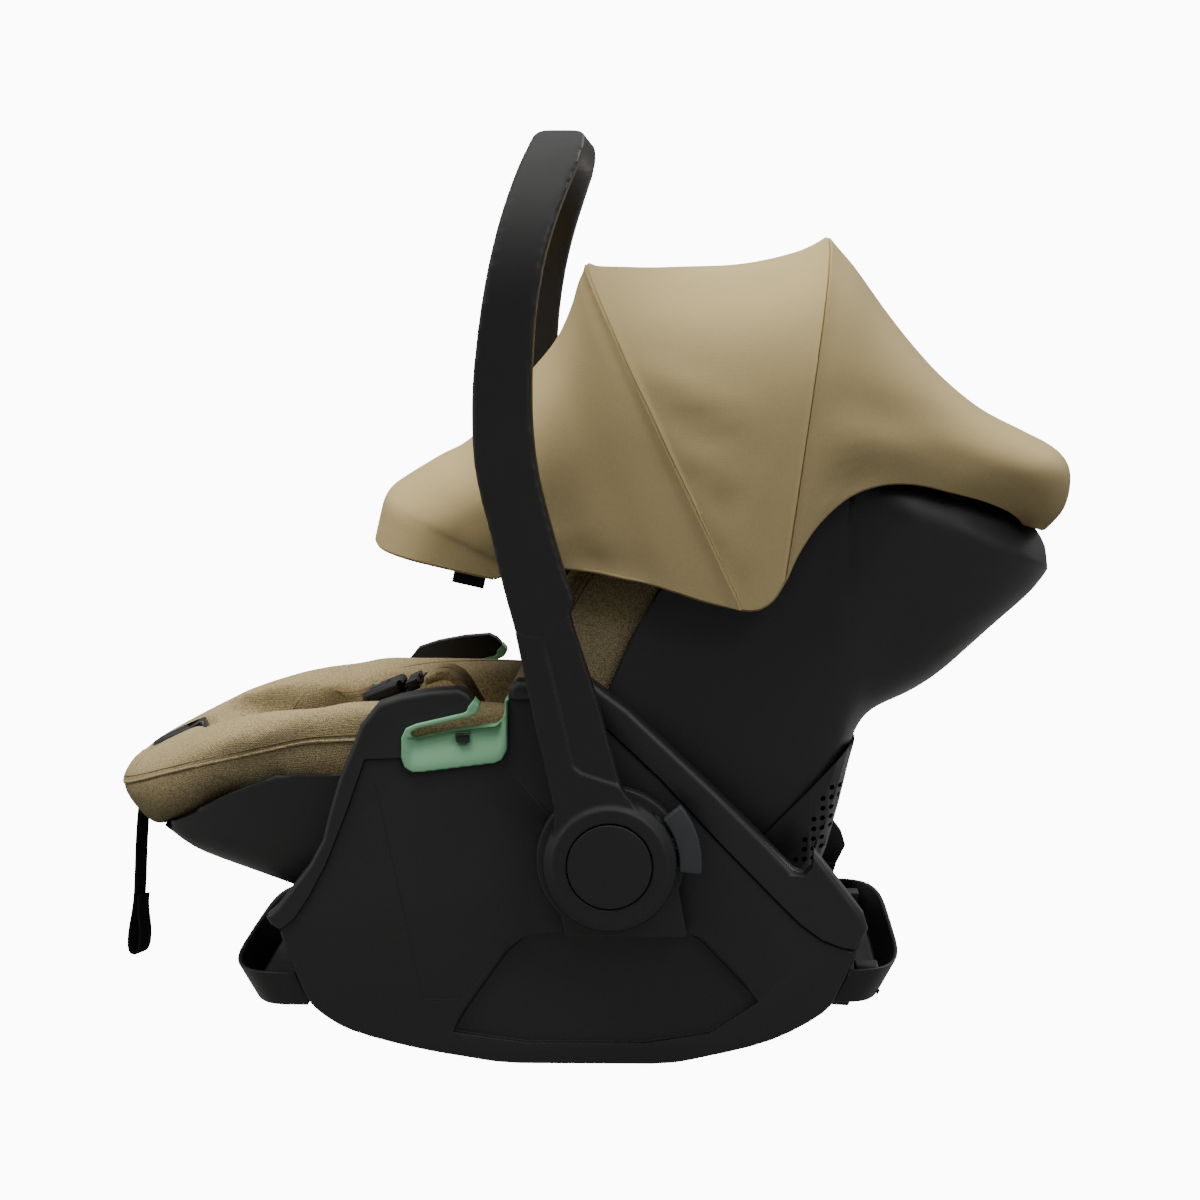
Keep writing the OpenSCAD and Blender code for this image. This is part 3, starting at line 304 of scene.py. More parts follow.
# %% [markdown]
# The canopy is a fine, close weave that is stretched smooth; the seat cover is a heathered knit with
# darker flecks in its yarn. Both are the same sand colour. Webbing is a tight black twill.

# %% Cloth finishes
def cloth(name, dark, light, fleck_from, fleck_to, thread, depth, fleck_scale, sheen, sheen_tint):
    made, tree, shader = new_material(name)
    pattern = node(tree, "ShaderNodeGroup", {"Thread": thread, "Depth": depth, "Fleck": fleck_scale},
                   node_tree=weave)
    share = node(tree, "ShaderNodeMapRange", {"From Min": fleck_from, "From Max": fleck_to})
    colour = two_colours(tree, dark, light)
    fade = node(tree, "ShaderNodeMix", {"Factor": 1.0}, data_type="RGBA", blend_type="MULTIPLY")
    tone = node(tree, "ShaderNodeMapRange", {"To Min": 0.90, "To Max": 1.06})
    link(tree, (pattern, "Fleck", share, "Value"), (share, "Result", colour, "Factor"),
         (pattern, "Cloud", tone, "Value"), (colour, "Result", fade, "A"),
         (tone, "Result", fade, "B"), (fade, "Result", shader, "Base Color"),
         (pattern, "Normal", shader, "Normal"))
    set_inputs(shader, {"Roughness": 0.85, "Specular IOR Level": 0.10, "Sheen Weight": sheen,
                        "Sheen Roughness": 0.45, "Sheen Tint": (*sheen_tint, 1)})
    return made


sand = (0.80, 0.68, 0.42)
canopy_cloth = cloth("canopy_cloth", (0.425, 0.340, 0.174), (0.472, 0.382, 0.199),
                     0.3, 0.7, 5200, 0.14, 900, 0.04, sand)
seat_knit = cloth("seat_knit", (0.225, 0.179, 0.097), (0.475, 0.390, 0.225),
                  0.34, 0.62, 3600, 0.40, 760, 0.10, sand)
seam_thread = cloth("seam_thread", (0.190, 0.148, 0.072), (0.240, 0.190, 0.095),
                    0.3, 0.7, 6000, 0.4, 900, 0.05, sand)
black_webbing = cloth("black_webbing", (0.010, 0.010, 0.0108), (0.020, 0.020, 0.0212),
                      0.3, 0.7, 4200, 0.7, 900, 0.08, (0.5, 0.5, 0.5))
print("cloths ready")

# %% [markdown]
# ## Hanging pull strap
# The harness is tightened by a flat webbing strap that comes out under the nose and hangs down with
# a stitched loop on its end. It is a free cord, so it keeps its real length and hangs straight.
# It is swept along its route as a flat band, because a round cord would miss its two faces.

# %% Route of the strap
def drawn_line(points):
    """Points in the middle plane, from x and height in mm"""
    return [Vector((x, 0, z)) / 1000 for x, z in points]


def line_length(line):
    return sum((b - a).length for a, b in zip(line, line[1:]))


strap_route = drawn_line((
    (-327.4, 152), (-328.2, 145), (-328.9, 138), (-329.4, 131), (-329.9, 124), (-330.3, 117),
    (-330.6, 110), (-330.9, 103), (-331.2, 96), (-331.6, 89), (-332.1, 82), (-333.0, 75),
    (-334.2, 68), (-335.6, 61), (-336.5, 55), (-336.9, 50), (-336.9, 46), (-336.2, 42),
    (-334.7, 39.9), (-333.2, 39.4)))
loop_route = drawn_line((
    (-333.0, 39.5), (-331.2, 40.6), (-329.7, 43.4), (-328.7, 47), (-328.2, 52), (-328.3, 58),
    (-328.8, 64), (-329.4, 69), (-329.7, 74), (-329.5, 79), (-329.2, 83)))
print("strap of", len(strap_route), "points")


# %% Mesh helpers
def new_mesh(name, points, faces):
    mesh = bpy.data.meshes.new(name)
    mesh.from_pydata([tuple(p) for p in points], [], faces)
    mesh.update()
    piece = bpy.data.objects.new(name, mesh)
    bpy.context.scene.collection.objects.link(piece)
    return piece


def select_only(*objects):
    bpy.ops.object.select_all(action="DESELECT")
    for o in objects:
        o.select_set(True)
    bpy.context.view_layer.objects.active = objects[0]


def start_edit(piece, kind=None):
    """Enters edit mode with all selected, or with nothing selected and a kind of element"""
    select_only(piece)
    bpy.ops.object.mode_set(mode="EDIT")
    if kind:
        bpy.ops.mesh.select_mode(type=kind)
    bpy.ops.mesh.select_all(action="DESELECT" if kind else "SELECT")


def end_edit():
    bpy.ops.mesh.select_mode(type="VERT")
    bpy.ops.object.mode_set(mode="OBJECT")


def swept(name, rings):
    """Closed mesh through rings of points, with its faces turned outwards"""
    size = len(rings[0])
    last = size * (len(rings) - 1)
    faces = [(low + j, low + (j + 1) % size, low + size + (j + 1) % size, low + size + j)
             for low in range(0, last, size) for j in range(size)]
    faces += [tuple(reversed(range(size))), tuple(range(last, last + size))]
    piece = new_mesh(name, [p for ring in rings for p in ring], faces)
    start_edit(piece)
    bpy.ops.mesh.remove_doubles(threshold=0.00001)
    bpy.ops.mesh.normals_make_consistent(inside=False)
    end_edit()
    return piece


def dress(piece, finish, body, slot, *replaced):
    piece.data.materials.clear()
    piece.data.materials.append(finish)
    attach(piece, body)
    if replaced:
        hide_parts(*replaced)
    return piece


# %% Pull strap
turn = math.radians(19)
wide = Vector((math.sin(turn), math.cos(turn), 0))
thin = Vector((math.cos(turn), -math.sin(turn), 0))
one_face = [(0.008, 0.0006), (0.0076, 0.0011), (0, 0.0013), (-0.0076, 0.0011), (-0.008, 0.0006)]
profile = one_face + [(-a, -b) for a, b in one_face]


def webbing(name, route, replaced):
    piece = swept(name, [[p + a * wide + b * thin for a, b in profile] for p in route])
    return dress(piece, black_webbing, "seat", "webbing", replaced)


pull_strap = webbing("pull_strap_webbing", strap_route, "pull_strap")
loop_return = webbing("strap_loop_return", loop_route, "strap_tab")

# %% [markdown]
# ## Moulded parts
# An injection-moulded part never has a sharp edge: its steel tool is cut with small radii, and it is
# these radii that catch the light and draw the outline of a black part. Each one could be modelled
# again from a primitive, but the CAD body already has the exact walls, holes and bosses. So a copy
# of it is merged, its flat faces are made whole, and its edges get the radius of the real moulding.

# %% Copies of CAD bodies and their modifiers
def merged_copy(name, *sources, flat=0):
    """One merged mesh from copies of CAD bodies; flat is the angle below which faces are joined"""
    copies = []
    for source in sources:
        one = bpy.data.objects.new(name, nodes[source].data.copy())
        bpy.context.scene.collection.objects.link(one)
        copies.append(one)
    select_only(*copies)
    if len(copies) > 1:
        bpy.ops.object.join()
    piece = bpy.context.view_layer.objects.active
    piece.name = name
    piece.data.materials.clear()
    start_edit(piece)
    bpy.ops.mesh.remove_doubles(threshold=0.00002)
    if flat:
        bpy.ops.mesh.dissolve_limited(angle_limit=math.radians(flat))
    end_edit()
    return piece


def modified(piece, kind, **settings):
    """Applies one modifier with its settings"""
    select_only(piece)
    bpy.ops.object.modifier_add(type=kind)
    modifier = piece.modifiers[-1]
    for key, value in settings.items():
        setattr(modifier, key, value)
    bpy.ops.object.modifier_apply(modifier=modifier.name)
    return piece


def smooth_by_angle(piece, angle=38):
    select_only(piece)
    bpy.ops.object.shade_smooth_by_angle(angle=math.radians(angle))
    return piece


# %% Rounded outlines, sunk faces and moulded edges
def round_outline(piece, width, test):
    """Rounds the edges between an outer face and an outline wall that pass the test"""
    start_edit(piece, "EDGE")
    drawn = bmesh.from_edit_mesh(piece.data)
    reach = max(abs(v.co.y) for v in drawn.verts)
    for edge in drawn.edges:
        flat = [f for f in edge.link_faces if abs(f.normal.y) > 0.9]
        walls = [f for f in edge.link_faces if abs(f.normal.y) < 0.3]
        middle = (edge.verts[0].co + edge.verts[1].co) / 2
        if flat and walls and abs(middle.y) > reach - 0.0002 and test(middle, walls[0].normal):
            edge.select_set(True)
    bmesh.update_edit_mesh(piece.data)
    bpy.ops.mesh.bevel(offset=width, segments=4, affect="EDGES", clamp_overlap=False)
    end_edit()


def dished(piece, rim, depth, facing):
    """Sinks the flat face that looks the given way, inside a rim"""
    start_edit(piece, "FACE")
    drawn = bmesh.from_edit_mesh(piece.data)
    reach = max(f.calc_center_median().dot(facing) for f in drawn.faces)
    for f in drawn.faces:
        if f.normal.dot(facing) > 0.99 and f.calc_center_median().dot(facing) > reach - 0.0004:
            f.select_set(True)
    bmesh.update_edit_mesh(piece.data)
    bpy.ops.mesh.inset(thickness=rim, depth=-depth)
    end_edit()


def moulded(source, name, width, finish, body="base", slot="black_plastic", flat=1.0,
            before=None):
    piece = merged_copy(name, source, flat=flat)
    if before:
        before(piece)
    modified(piece, "BEVEL", width=width, segments=3, limit_method="ANGLE",
             angle_limit=math.radians(32), use_clamp_overlap=False, miter_outer="MITER_ARC")
    smooth_by_angle(piece)
    dress(piece, finish, body, slot, source)
    print(name, len(piece.data.polygons), "faces")
    return piece


# %% [markdown]
# The base is two thick side panels with scooped faces. Its trims and rails are separate mouldings
# that stand 2 mm proud, so only their outer outlines have a large radius, and where they meet the
# panel they keep a tight edge that shows as a thin parting line.

# %% Base mouldings
SIDES = (("left", -1), ("right", 1))


def rounded_away_from(x, z, width):
    """Rounds the outline walls that face away from a point of the side view"""
    centre = Vector((x, 0, z))
    return lambda piece: round_outline(
        piece, width, lambda middle, normal: normal.dot(middle - centre) > 0)


def panel_outline(piece):
    round_outline(piece, 0.0040, lambda middle, normal: middle.z < 0.088 and normal.z < 0.25)
    round_outline(piece, 0.0020, lambda middle, normal: middle.x > 0 and normal.x + normal.z > 0.8)


moulded("base_floor", "base_bottom_plate", 0.0010, panel_black)
moulded("front_tray", "front_tray_rim", 0.0014, tray_black, slot="trim_plastic", flat=0.2)
moulded("rear_tray", "rear_tray_rim", 0.0014, tray_black, slot="trim_plastic", flat=0.2)
moulded("rear_hooks", "rear_hook_pair", 0.0010, tray_black)
for side, sign in SIDES:
    moulded("side_panel_" + side, "panel_shell_" + side, 0.0006, panel_black, flat=0.3,
            before=panel_outline)
    moulded("front_trim_" + side, "belt_arm_" + side, 0.0005, trim_black, slot="trim_plastic",
            flat=0.3, before=rounded_away_from(-0.075, 0.120, 0.0042))
    moulded("rail_" + side, "rail_moulding_" + side, 0.0005, trim_black, slot="trim_plastic",
            flat=0.3, before=rounded_away_from(0.010, 0.060, 0.0055))
    moulded("guide_catch_" + side, "belt_catch_" + side, 0.0009, gloss_black, "catch_" + side,
            "gloss_black")
    moulded("pivot_housing_" + side, "adapter_housing_" + side, 0.0020, panel_black)

# %% [markdown]
# Under the left arm a service cover is let into each panel. Its joint is a gap of half a
# millimetre, too thin to cut, so a dark flat bead is laid along it.

# %% Joint lines of the panels
PANEL_JOINT = ((-0.1420, 0.1917), (-0.1103, 0.0445), (-0.0865, 0.0440), (-0.0443, 0.0965))
JOINT_FACE, JOINT_RADIUS = 0.181, 0.0004


def rings_along(line, away_at, radius, flat, sides):
    """Round or flattened rings about a line of points; away_at gives their upper side"""
    rings = []
    for i, p in enumerate(line):
        along = (line[min(i + 1, len(line) - 1)] - line[max(i - 1, 0)]).normalized()
        away = away_at(p)
        away = (away - along * away.dot(along)).normalized()
        across = along.cross(away)
        rings.append([p + radius * (math.cos(a) * across + flat * math.sin(a) * away)
                      for a in (2 * math.pi * k / sides for k in range(sides))])
    return rings


for side, sign in SIDES:
    corners = [Vector((x, sign * JOINT_FACE, z)) for x, z in PANEL_JOINT]
    line = [a.lerp(b, k / 24) for a, b in zip(corners, corners[1:]) for k in range(24)]
    rings = rings_along(line + [corners[-1]], lambda p: Vector((0, sign, 0)), JOINT_RADIUS, 0.35, 6)
    dress(swept("panel_joint_" + side, rings), tray_black, "base", "black_plastic")
print("panel joints laid")

# %% [markdown]
# ## Soft mouldings
# The handle and the belt guides have hardly any straight edge: their faces run into each other with
# radii of 1 to 6 mm, and bevels would collide in their corners. An even remesh that is smoothed
# rounds every edge in the same soft way, as hand finishing of the tool does. Shallow forms, such as
# the ramp in a guide or the sunk face of a leg, are then pushed into the even mesh.

# %% Soft rounding by an even remesh
def even_mesh(piece, voxel):
    return modified(piece, "REMESH", mode="VOXEL", voxel_size=voxel)


def relaxed(piece, rounds=4, factor=0.5, group=""):
    return modified(piece, "SMOOTH", iterations=rounds, factor=factor, vertex_group=group)


def relaxed_where(piece, share_at, rounds, factor):
    """Smooths a piece by a share that depends on the place"""
    group = piece.vertex_groups.new(name="share")
    for v in piece.data.vertices:
        group.add([v.index], share_at(v.co), "REPLACE")
    relaxed(piece, rounds, factor, "share")
    piece.vertex_groups.clear()


def on_line(line, value):
    """Straight-line reading of a drawn line"""
    return float(np.interp(value, *zip(*line)))


def eased(t):
    t = min(max(t, 0.0), 1.0)
    return t * t * (3 - 2 * t)


def soft_moulding(piece, voxel, rounds, finish, body, slot, *replaced):
    even_mesh(piece, voxel)
    relaxed(piece, rounds)
    bpy.ops.object.shade_smooth()
    dress(piece, finish, body, slot, *replaced)
    print(piece.name, len(piece.data.polygons), "faces")
    return piece


# %% Upper bow
BOW_FOOT, BOW_FOOT_MOVE = 0.3142, Vector((0.0013, 0, -0.0045))

bow = merged_copy("carry_bow", "handle_bow")
for v in bow.data.vertices:
    if v.co.z < BOW_FOOT:
        v.co += BOW_FOOT_MOVE
soft_moulding(bow, 0.0024, 8, handle_black, "handle", "black_plastic", "handle_bow")

# %% Handle legs with their sunk faces, release buttons and hub caps
LEG_STEP = ((-0.027, 0.295), (-0.007, 0.209), (-0.002, 0.205), (0.019, 0.198))
HUB_TOP, SUNK_TOP, SUNK_DEPTH = 0.188, 0.300, 0.0016


def inside_step(x, z):
    """Distance in from the lower left outline of the sunk face of a leg"""
    return min([1.0] + [((x1 - x0) * (z - z0) - (z1 - z0) * (x - x0)) / math.hypot(x1 - x0, z1 - z0)
                        for (x0, z0), (x1, z1) in zip(LEG_STEP, LEG_STEP[1:])])


def dished_face(rim, depth, sign):
    return lambda piece: dished(piece, rim, depth, Vector((0, sign, 0)))


for side, sign in SIDES:
    leg = merged_copy("lower_handle_" + side, "handle_leg_" + side, "leg_insets")
    start_edit(leg)
    drawn = bmesh.from_edit_mesh(leg.data)
    bmesh.ops.delete(drawn, geom=[v for v in drawn.verts if v.co.y * sign < 0], context="VERTS")
    bmesh.update_edit_mesh(leg.data)
    end_edit()
    replaced = ("handle_leg_left", "leg_insets") if side == "left" else ("handle_leg_right",)
    soft_moulding(leg, 0.0013, 4, handle_black, "handle", "black_plastic", *replaced)
    relaxed_where(leg, lambda place: eased((place.z - HUB_TOP) / 0.015), 12, 0.5)
    face = max(abs(v.co.y) for v in leg.data.vertices if v.co.z > 0.24)
    for v in leg.data.vertices:
        if v.co.z > 0.19 and abs(v.co.y) > face - 0.0015:
            sunk = eased((inside_step(v.co.x, v.co.z) + 0.0008) / 0.0015)
            v.co.y -= sign * SUNK_DEPTH * sunk * eased((SUNK_TOP - v.co.z) / 0.015)
    moulded("handle_button_" + side, "grey_release_" + side, 0.0010, button_grey,
            "button_" + side, "grey_plastic", before=dished_face(0.0018, 0.0005, sign))
moulded("hub_caps", "hub_discs", 0.0008, handle_black, "handle")

# %% Belt guides with their ramps
GUIDE_LOW = ((-0.124, 0.210), (-0.122, 0.204), (-0.117, 0.2005), (-0.108, 0.201),
             (-0.061, 0.207), (-0.056, 0.2095), (-0.0525, 0.216))
GUIDE_SILL = ((-0.116, 0.223), (-0.087, 0.229), (-0.060, 0.232), (-0.056, 0.236))
RAMP_FRONT, RAMP_REAR, RAMP_DEPTH = -0.1215, -0.0535, 0.0055

for side, sign in SIDES:
    guide = merged_copy("mint_guide_" + side, "belt_guide_" + side)
    soft_moulding(guide, 0.0010, 4, mint_plastic, "base", "mint_plastic", "belt_guide_" + side)
    face = max(abs(v.co.y) for v in guide.data.vertices)
    for v in guide.data.vertices:
        x, z = v.co.x, v.co.z
        low, sill = on_line(GUIDE_LOW, x), on_line(GUIDE_SILL, x)
        if RAMP_FRONT < x < RAMP_REAR and low < z < sill + 0.001 and abs(v.co.y) > face - 0.002:
            ramp = eased((z - low - 0.002) / (sill - low - 0.004))
            ramp *= eased((x - RAMP_FRONT) / 0.008) * eased((RAMP_REAR - x) / 0.006)
            v.co.y -= sign * RAMP_DEPTH * ramp

# %% Seat and harness mouldings
moulded("buckle", "harness_buckle", 0.0022, gloss_black, "seat", "gloss_black")
dot_low, dot_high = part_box("buckle_button")
bpy.ops.mesh.primitive_cylinder_add(vertices=24, radius=0.0022, depth=0.0012, location=(
    (dot_low.x + dot_high.x) / 2 - 0.0015, -0.004, dot_high.z - 0.0022))
dot = bpy.context.object
dot.name = "buckle_sign"
bpy.ops.object.transform_apply(location=True, rotation=True, scale=True)
dress(dot, mint_plastic, "release_button", "gloss_black")
moulded("tongues", "buckle_tongues", 0.0012, gloss_black, "seat", "gloss_black")
moulded("buckle_button", "buckle_press", 0.0010, gloss_black, "release_button", "gloss_black")
moulded("harness_adjuster", "adjuster_frame", 0.0012, gloss_black, "seat", "gloss_black")
moulded("adjuster_lever", "adjuster_press", 0.0010, gloss_black, "lever", "lever_plastic")
moulded("headrest_shell", "headrest_frame", 0.0014, shell_black, "headrest")
moulded("tag", "bare_tag", 0.0002, black_webbing, "visor", "tag_fabric")
moulded("shoulder_straps", "shoulder_webbing", 0.0006, black_webbing, "seat", "webbing",
        flat=0.2)
moulded("crotch_strap", "crotch_webbing", 0.0006, black_webbing, "seat", "webbing", flat=0.2)

# %% [markdown]
# The seat shell is one large moulding whose walls curve in every direction. The CAD body holds it as
# flat facets, so its copy gets them back as four-sided faces and is subdivided, with the rim and the
# bolt holes kept crisp by creases.

# %% Shell surface
CREASE = ((0.150, 0.392), (0.189, 0.3837), (0.2226, 0.372), (0.2524, 0.360), (0.299, 0.337),
          (0.340, 0.322))
SHOULDER_OUT, BULGE_OUT = 0.0120, 0.0022
BULGE = ((0.234, 0.176), (0.283, 0.136), (0.315, 0.150), (0.341, 0.160), (0.384, 0.189))


def head_end_form(piece):
    """Pushes the shell out to a shoulder crease round the head end and a soft bulge below it"""
    normals = [v.normal.copy() for v in piece.data.vertices]
    for v, normal in zip(piece.data.vertices, normals):
        x, y, z = v.co
        if x < 0.120 or z < 0.20 or normal.dot(Vector((x - 0.12, y, (z - 0.36) * 0.3))) < 0:
            continue
        height = on_line(CREASE, x)
        grown = SHOULDER_OUT * eased((x - 0.165) / 0.06)
        if z > height:
            share = 1 - min((z - height) / 0.026, 1.0)
        else:
            share = max(0.0, 1 - (height - z) / 0.095) ** 2
        across = (x - on_line(BULGE, z)) / 0.075
        soft = BULGE_OUT * math.sin(math.pi * min(max(across, 0.0), 1.0)) ** 2
        soft *= eased((z - 0.235) / 0.04) * (1 - eased((z - height + 0.02) / 0.03))
        v.co += normal * (grown * share + soft * eased((abs(y) - 0.05) / 0.04))


# %% Seat shell
shell = merged_copy("bucket_shell", "seat_shell")
start_edit(shell)
bpy.ops.mesh.tris_convert_to_quads(face_threshold=0.7, shape_threshold=0.9)
end_edit()
start_edit(shell, "EDGE")
bpy.ops.mesh.edges_select_sharp(sharpness=math.radians(50))
bpy.ops.transform.edge_crease(value=0.9)
end_edit()
modified(shell, "SUBSURF", levels=3, render_levels=3)
head_end_form(shell)
smooth_by_angle(shell, 24)
dress(shell, shell_black, "seat", "black_plastic", "seat_shell")
print("bucket shell", len(shell.data.polygons), "faces")

# %% [markdown]
# The vent cover is plain across its back, between two fields of vents. On the CAD body the bores of
# the upper vents run on into the back and leave grooves there. A thin strip closes them: rays find
# the surface above and below them, and the hull of their hits leaves out those in a vent.

# %% Vent cover with a plain back
GROOVE_LOW, GROOVE_HIGH, GROOVE_END = 0.1680, 0.1895, 0.118
STRIP_PROUD, STRIP_THICKNESS = 0.0001, Vector((0.0006, 0, 0))


def surface_of(piece):
    return BVHTree.FromPolygons([v.co.copy() for v in piece.data.vertices],
                                [tuple(p.vertices) for p in piece.data.polygons])


def struck(tree, origin, direction):
    return tree.ray_cast(Vector(origin), Vector(direction).normalized())[0]


def upper_hull(points):
    hull = []
    for p in points:
        while len(hull) > 1 and ((hull[-1][0] - hull[-2][0]) * (p[1] - hull[-2][1])
                                 >= (hull[-1][1] - hull[-2][1]) * (p[0] - hull[-2][0])):
            hull.pop()
        hull.append(p)
    return hull


vents = merged_copy("rear_vents", "vent_cover")
back = surface_of(vents)
across_back = np.linspace(-GROOVE_END, GROOVE_END, 61)
strip_edges = []
for z in (GROOVE_LOW, GROOVE_HIGH):
    hits = [struck(back, (0.4, y, z), (-1, 0, 0)) for y in across_back]
    hull = upper_hull([(h.y, h.x) for h in hits if h])
    strip_edges.append([Vector((on_line(hull, y) + STRIP_PROUD, y, z)) for y in across_back])
strip = swept("strip", [[low, high, high - STRIP_THICKNESS, low - STRIP_THICKNESS]
                        for low, high in zip(*strip_edges)])
select_only(vents, strip)
bpy.ops.object.join()
smooth_by_angle(vents, 30)
dress(vents, shell_black, "seat", "black_plastic", "vent_cover")
print("vent cover", len(vents.data.polygons), "faces")

# %% [markdown]
# ## Canopy
# The canopy is three cut panels sewn together over two spring bows and one hoop. The cloth is pulled
# tight, so between two bows it dips like a saddle and keeps only soft tension folds. A stretched
# sheet is given by its ribs, so each panel is a grid that is laid on smooth lines from rib to rib.
# Every point keeps its share of the way between the bows, which sets the dip of the cloth and its
# ridges at the bows.

# %% Smooth lines and ribs
def spline_point(a, b, c, d, t):
    return 0.5 * (2 * b + (c - a) * t + (2 * a - 5 * b + 4 * c - d) * t * t
                  + (3 * b - a - 3 * c + d) * t * t * t)


def smooth_line(points, steps):
    points = [np.array(p, float) for p in points]
    last = len(points) - 1
    line = [spline_point(points[max(i - 1, 0)], points[i], points[i + 1],
                         points[min(i + 2, last)], k / steps)
            for i in range(last) for k in range(steps)]
    return line + [points[last]]


arch_half = smooth_line([(0, 1), (0.35, 1), (0.64, 0.97), (0.84, 0.84), (0.95, 0.58),
                         (0.99, 0.3), (1, 0)], 5)
arch = arch_half + [np.array((x, -y)) for x, y in reversed(arch_half[:-1])]


def rib(row):
    """Points of one rib from hem to hem, from its peak, its foot and half its width in mm"""
    peak_x, peak_z, foot_x, foot_z, half = row
    return [Vector((foot_x + (peak_x - foot_x) * up, -half * out,
                    foot_z + (peak_z - foot_z) * up)) / 1000 for up, out in arch]


# %% Panel shapes
visor_rows = [(-151, 351, -62, 331, 172), (-147.5, 367, -55, 333.5, 172),
              (-144, 380, -48, 336, 172), (-136.5, 387, -42, 337.5, 173),
              (-112, 402, -28, 339, 173),
              (-88, 415, -10, 338, 174), (-62, 442, 8, 335.5, 174),
              (-43, 465, 24, 332, 175), (-25, 487, 42, 328.5, 175),
              (-14, 510, 60, 323, 176), (-8, 530, 82, 316, 176), (-3, 539, 104, 311, 176)]
middle_rows = [(-3, 539, 104, 311, 176), (22, 538.5, 108, 310.5, 176), (52, 538, 112, 310.5, 176),
               (101, 540, 118, 312, 176), (145, 549, 126, 318, 176), (167, 559, 134, 331, 176)]
rear_rows = [(167, 559, 134, 331, 176), (184, 540, 143, 350, 175), (206, 509, 157, 370, 173),
             (226, 484, 177, 387, 169), (249, 460, 199, 394.5, 165),
             (278, 437, 222, 394.5, 160), (308, 421, 246, 389, 154),
             (328, 410, 268, 383, 145), (335, 396, 285, 376, 134),
             (331, 375, 294, 370, 124), (317, 359, 299, 365, 116)]


def panel_grid(name, rows, steps):
    """A grid laid on the ribs, with the share of the way to its last rib in a vertex group"""
    ribs = [rib(row) for row in smooth_line(rows, steps)]
    count, size = len(ribs), len(ribs[0])
    points = [p for one in ribs for p in one]
    faces = [(i * size + j, i * size + j + 1, (i + 1) * size + j + 1, (i + 1) * size + j)
             for i in range(count - 1) for j in range(size - 1)]
    piece = new_mesh(name, points, faces)
    share = piece.vertex_groups.new(name="share")
    for i in range(count):
        share.add([i * size + j for j in range(size)], i / (count - 1), "REPLACE")
    return piece, ribs


# %% Tension folds and stretched panels
CANOPY_MIDDLE = Vector((0.070, 0, 0.350))
CUT_SHORT, CLOTH_THICKNESS, RIDGE_WIDTH = 0.99, 0.0018, 0.007
WAVE_HEIGHT, WAVE_SCALE, FOLDS_FROM = 0.0010, 14, 0.09
FOLDS = ((20, 475, 125, 435, 8, 3.4), (34, 446, 112, 418, 6, -2.6), (45, 420, 130, 390, 7, 3.0),
         (55, 400, 108, 366, 5, -2.6), (64, 384, 120, 345, 6, 3.0), (75, 366, 105, 325, 6, -2.4),
         (150, 430, 235, 412, 10, 3.8), (160, 458, 260, 425, 11, -3.0),
         (150, 395, 200, 400, 7, -2.4), (-20, 350, 60, 330, 8, -2.4), (-80, 360, 20, 352, 10, 2.2))


def tension_folds(point):
    """Height of the soft folds that start at the bows and run along the pull of the cloth"""
    value = 0.0
    for fold in FOLDS:
        x0, z0, x1, z1, width, lift = (v / 1000 for v in fold)
        way = Vector((x1 - x0, 0, z1 - z0))
        flat = Vector((point.x - x0, 0, point.z - z0))
        t = flat.dot(way) / way.length_squared
        if 0 < t < 1:
            off = (flat - way * t).length / width
            value += lift * math.exp(-off * off) * math.sin(math.pi * t ** 0.7)
    return value * eased((abs(point.y) - FOLDS_FROM) / 0.05)


def from_middle(p):
    return (p - CANOPY_MIDDLE).normalized()


def follow(piece):
    """Gives a piece the canopy cloth and bakes its placement into its mesh"""
    piece.data.materials.append(canopy_cloth)
    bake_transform(piece)


def finished_panel(name, rows, steps, replaced, ridges):
    """The panel is cut CUT_SHORT smaller than the space between its hoops, and pulled tight"""
    piece, ribs = panel_grid(name, rows, steps)
    longest = max(line_length(one) for one in ribs)
    widest = max(line_length(one) for one in zip(*ribs))
    for v in piece.data.vertices:
        way = v.groups[0].weight
        free = math.sin(math.pi * way) ** 0.5 if 0 < way < 1 else 0.0
        fold = WAVE_HEIGHT * noise.noise(v.co * WAVE_SCALE) + tension_folds(v.co)
        ridge = sum(lift * math.exp(-((way - at) * reach / RIDGE_WIDTH) ** 2)
                    for at, reach, lift in ridges)
        v.co += from_middle(v.co) * (free * fold + ridge)
    flat = [round(size * CUT_SHORT, 3) for size in (widest, longest)]
    area = sum(p.area for p in piece.data.polygons) * CUT_SHORT ** 2
    area = round(min(area, flat[0] * flat[1]), 4)
    modified(piece, "SOLIDIFY", thickness=CLOTH_THICKNESS, offset=-1)
    smooth_by_angle(piece, 50)
    piece.vertex_groups.clear()
    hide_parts(replaced)
    follow(piece)
    print(piece.name, len(piece.data.polygons), "faces, cut", flat, "m, area", area)
    return ribs


# %% Three sewn panels
FRONT_LIFT, REAR_LIFT = 0.0024, 0.0008

visor_ribs = finished_panel(
    "canopy_visor_panel", visor_rows, 5,
    "canopy_visor", [(1, 0.22, FRONT_LIFT)])
middle_ribs = finished_panel(
    "canopy_middle_panel", middle_rows, 8,
    "canopy_middle", [(0, 0.17, FRONT_LIFT), (1, 0.17, REAR_LIFT)])
rear_ribs = finished_panel(
    "canopy_rear_panel", rear_rows, 5,
    "canopy_rear", [(0, 0.22, REAR_LIFT)])

# %% [markdown]
# Where two panels meet they are sewn together over the bow, and the seam allowance stands up as a
# thin ridge. At the hem the cloth is folded twice. Both are narrow rolled strips that lie exactly
# on the ribs and hems of the panels, so they are swept along the same lines.

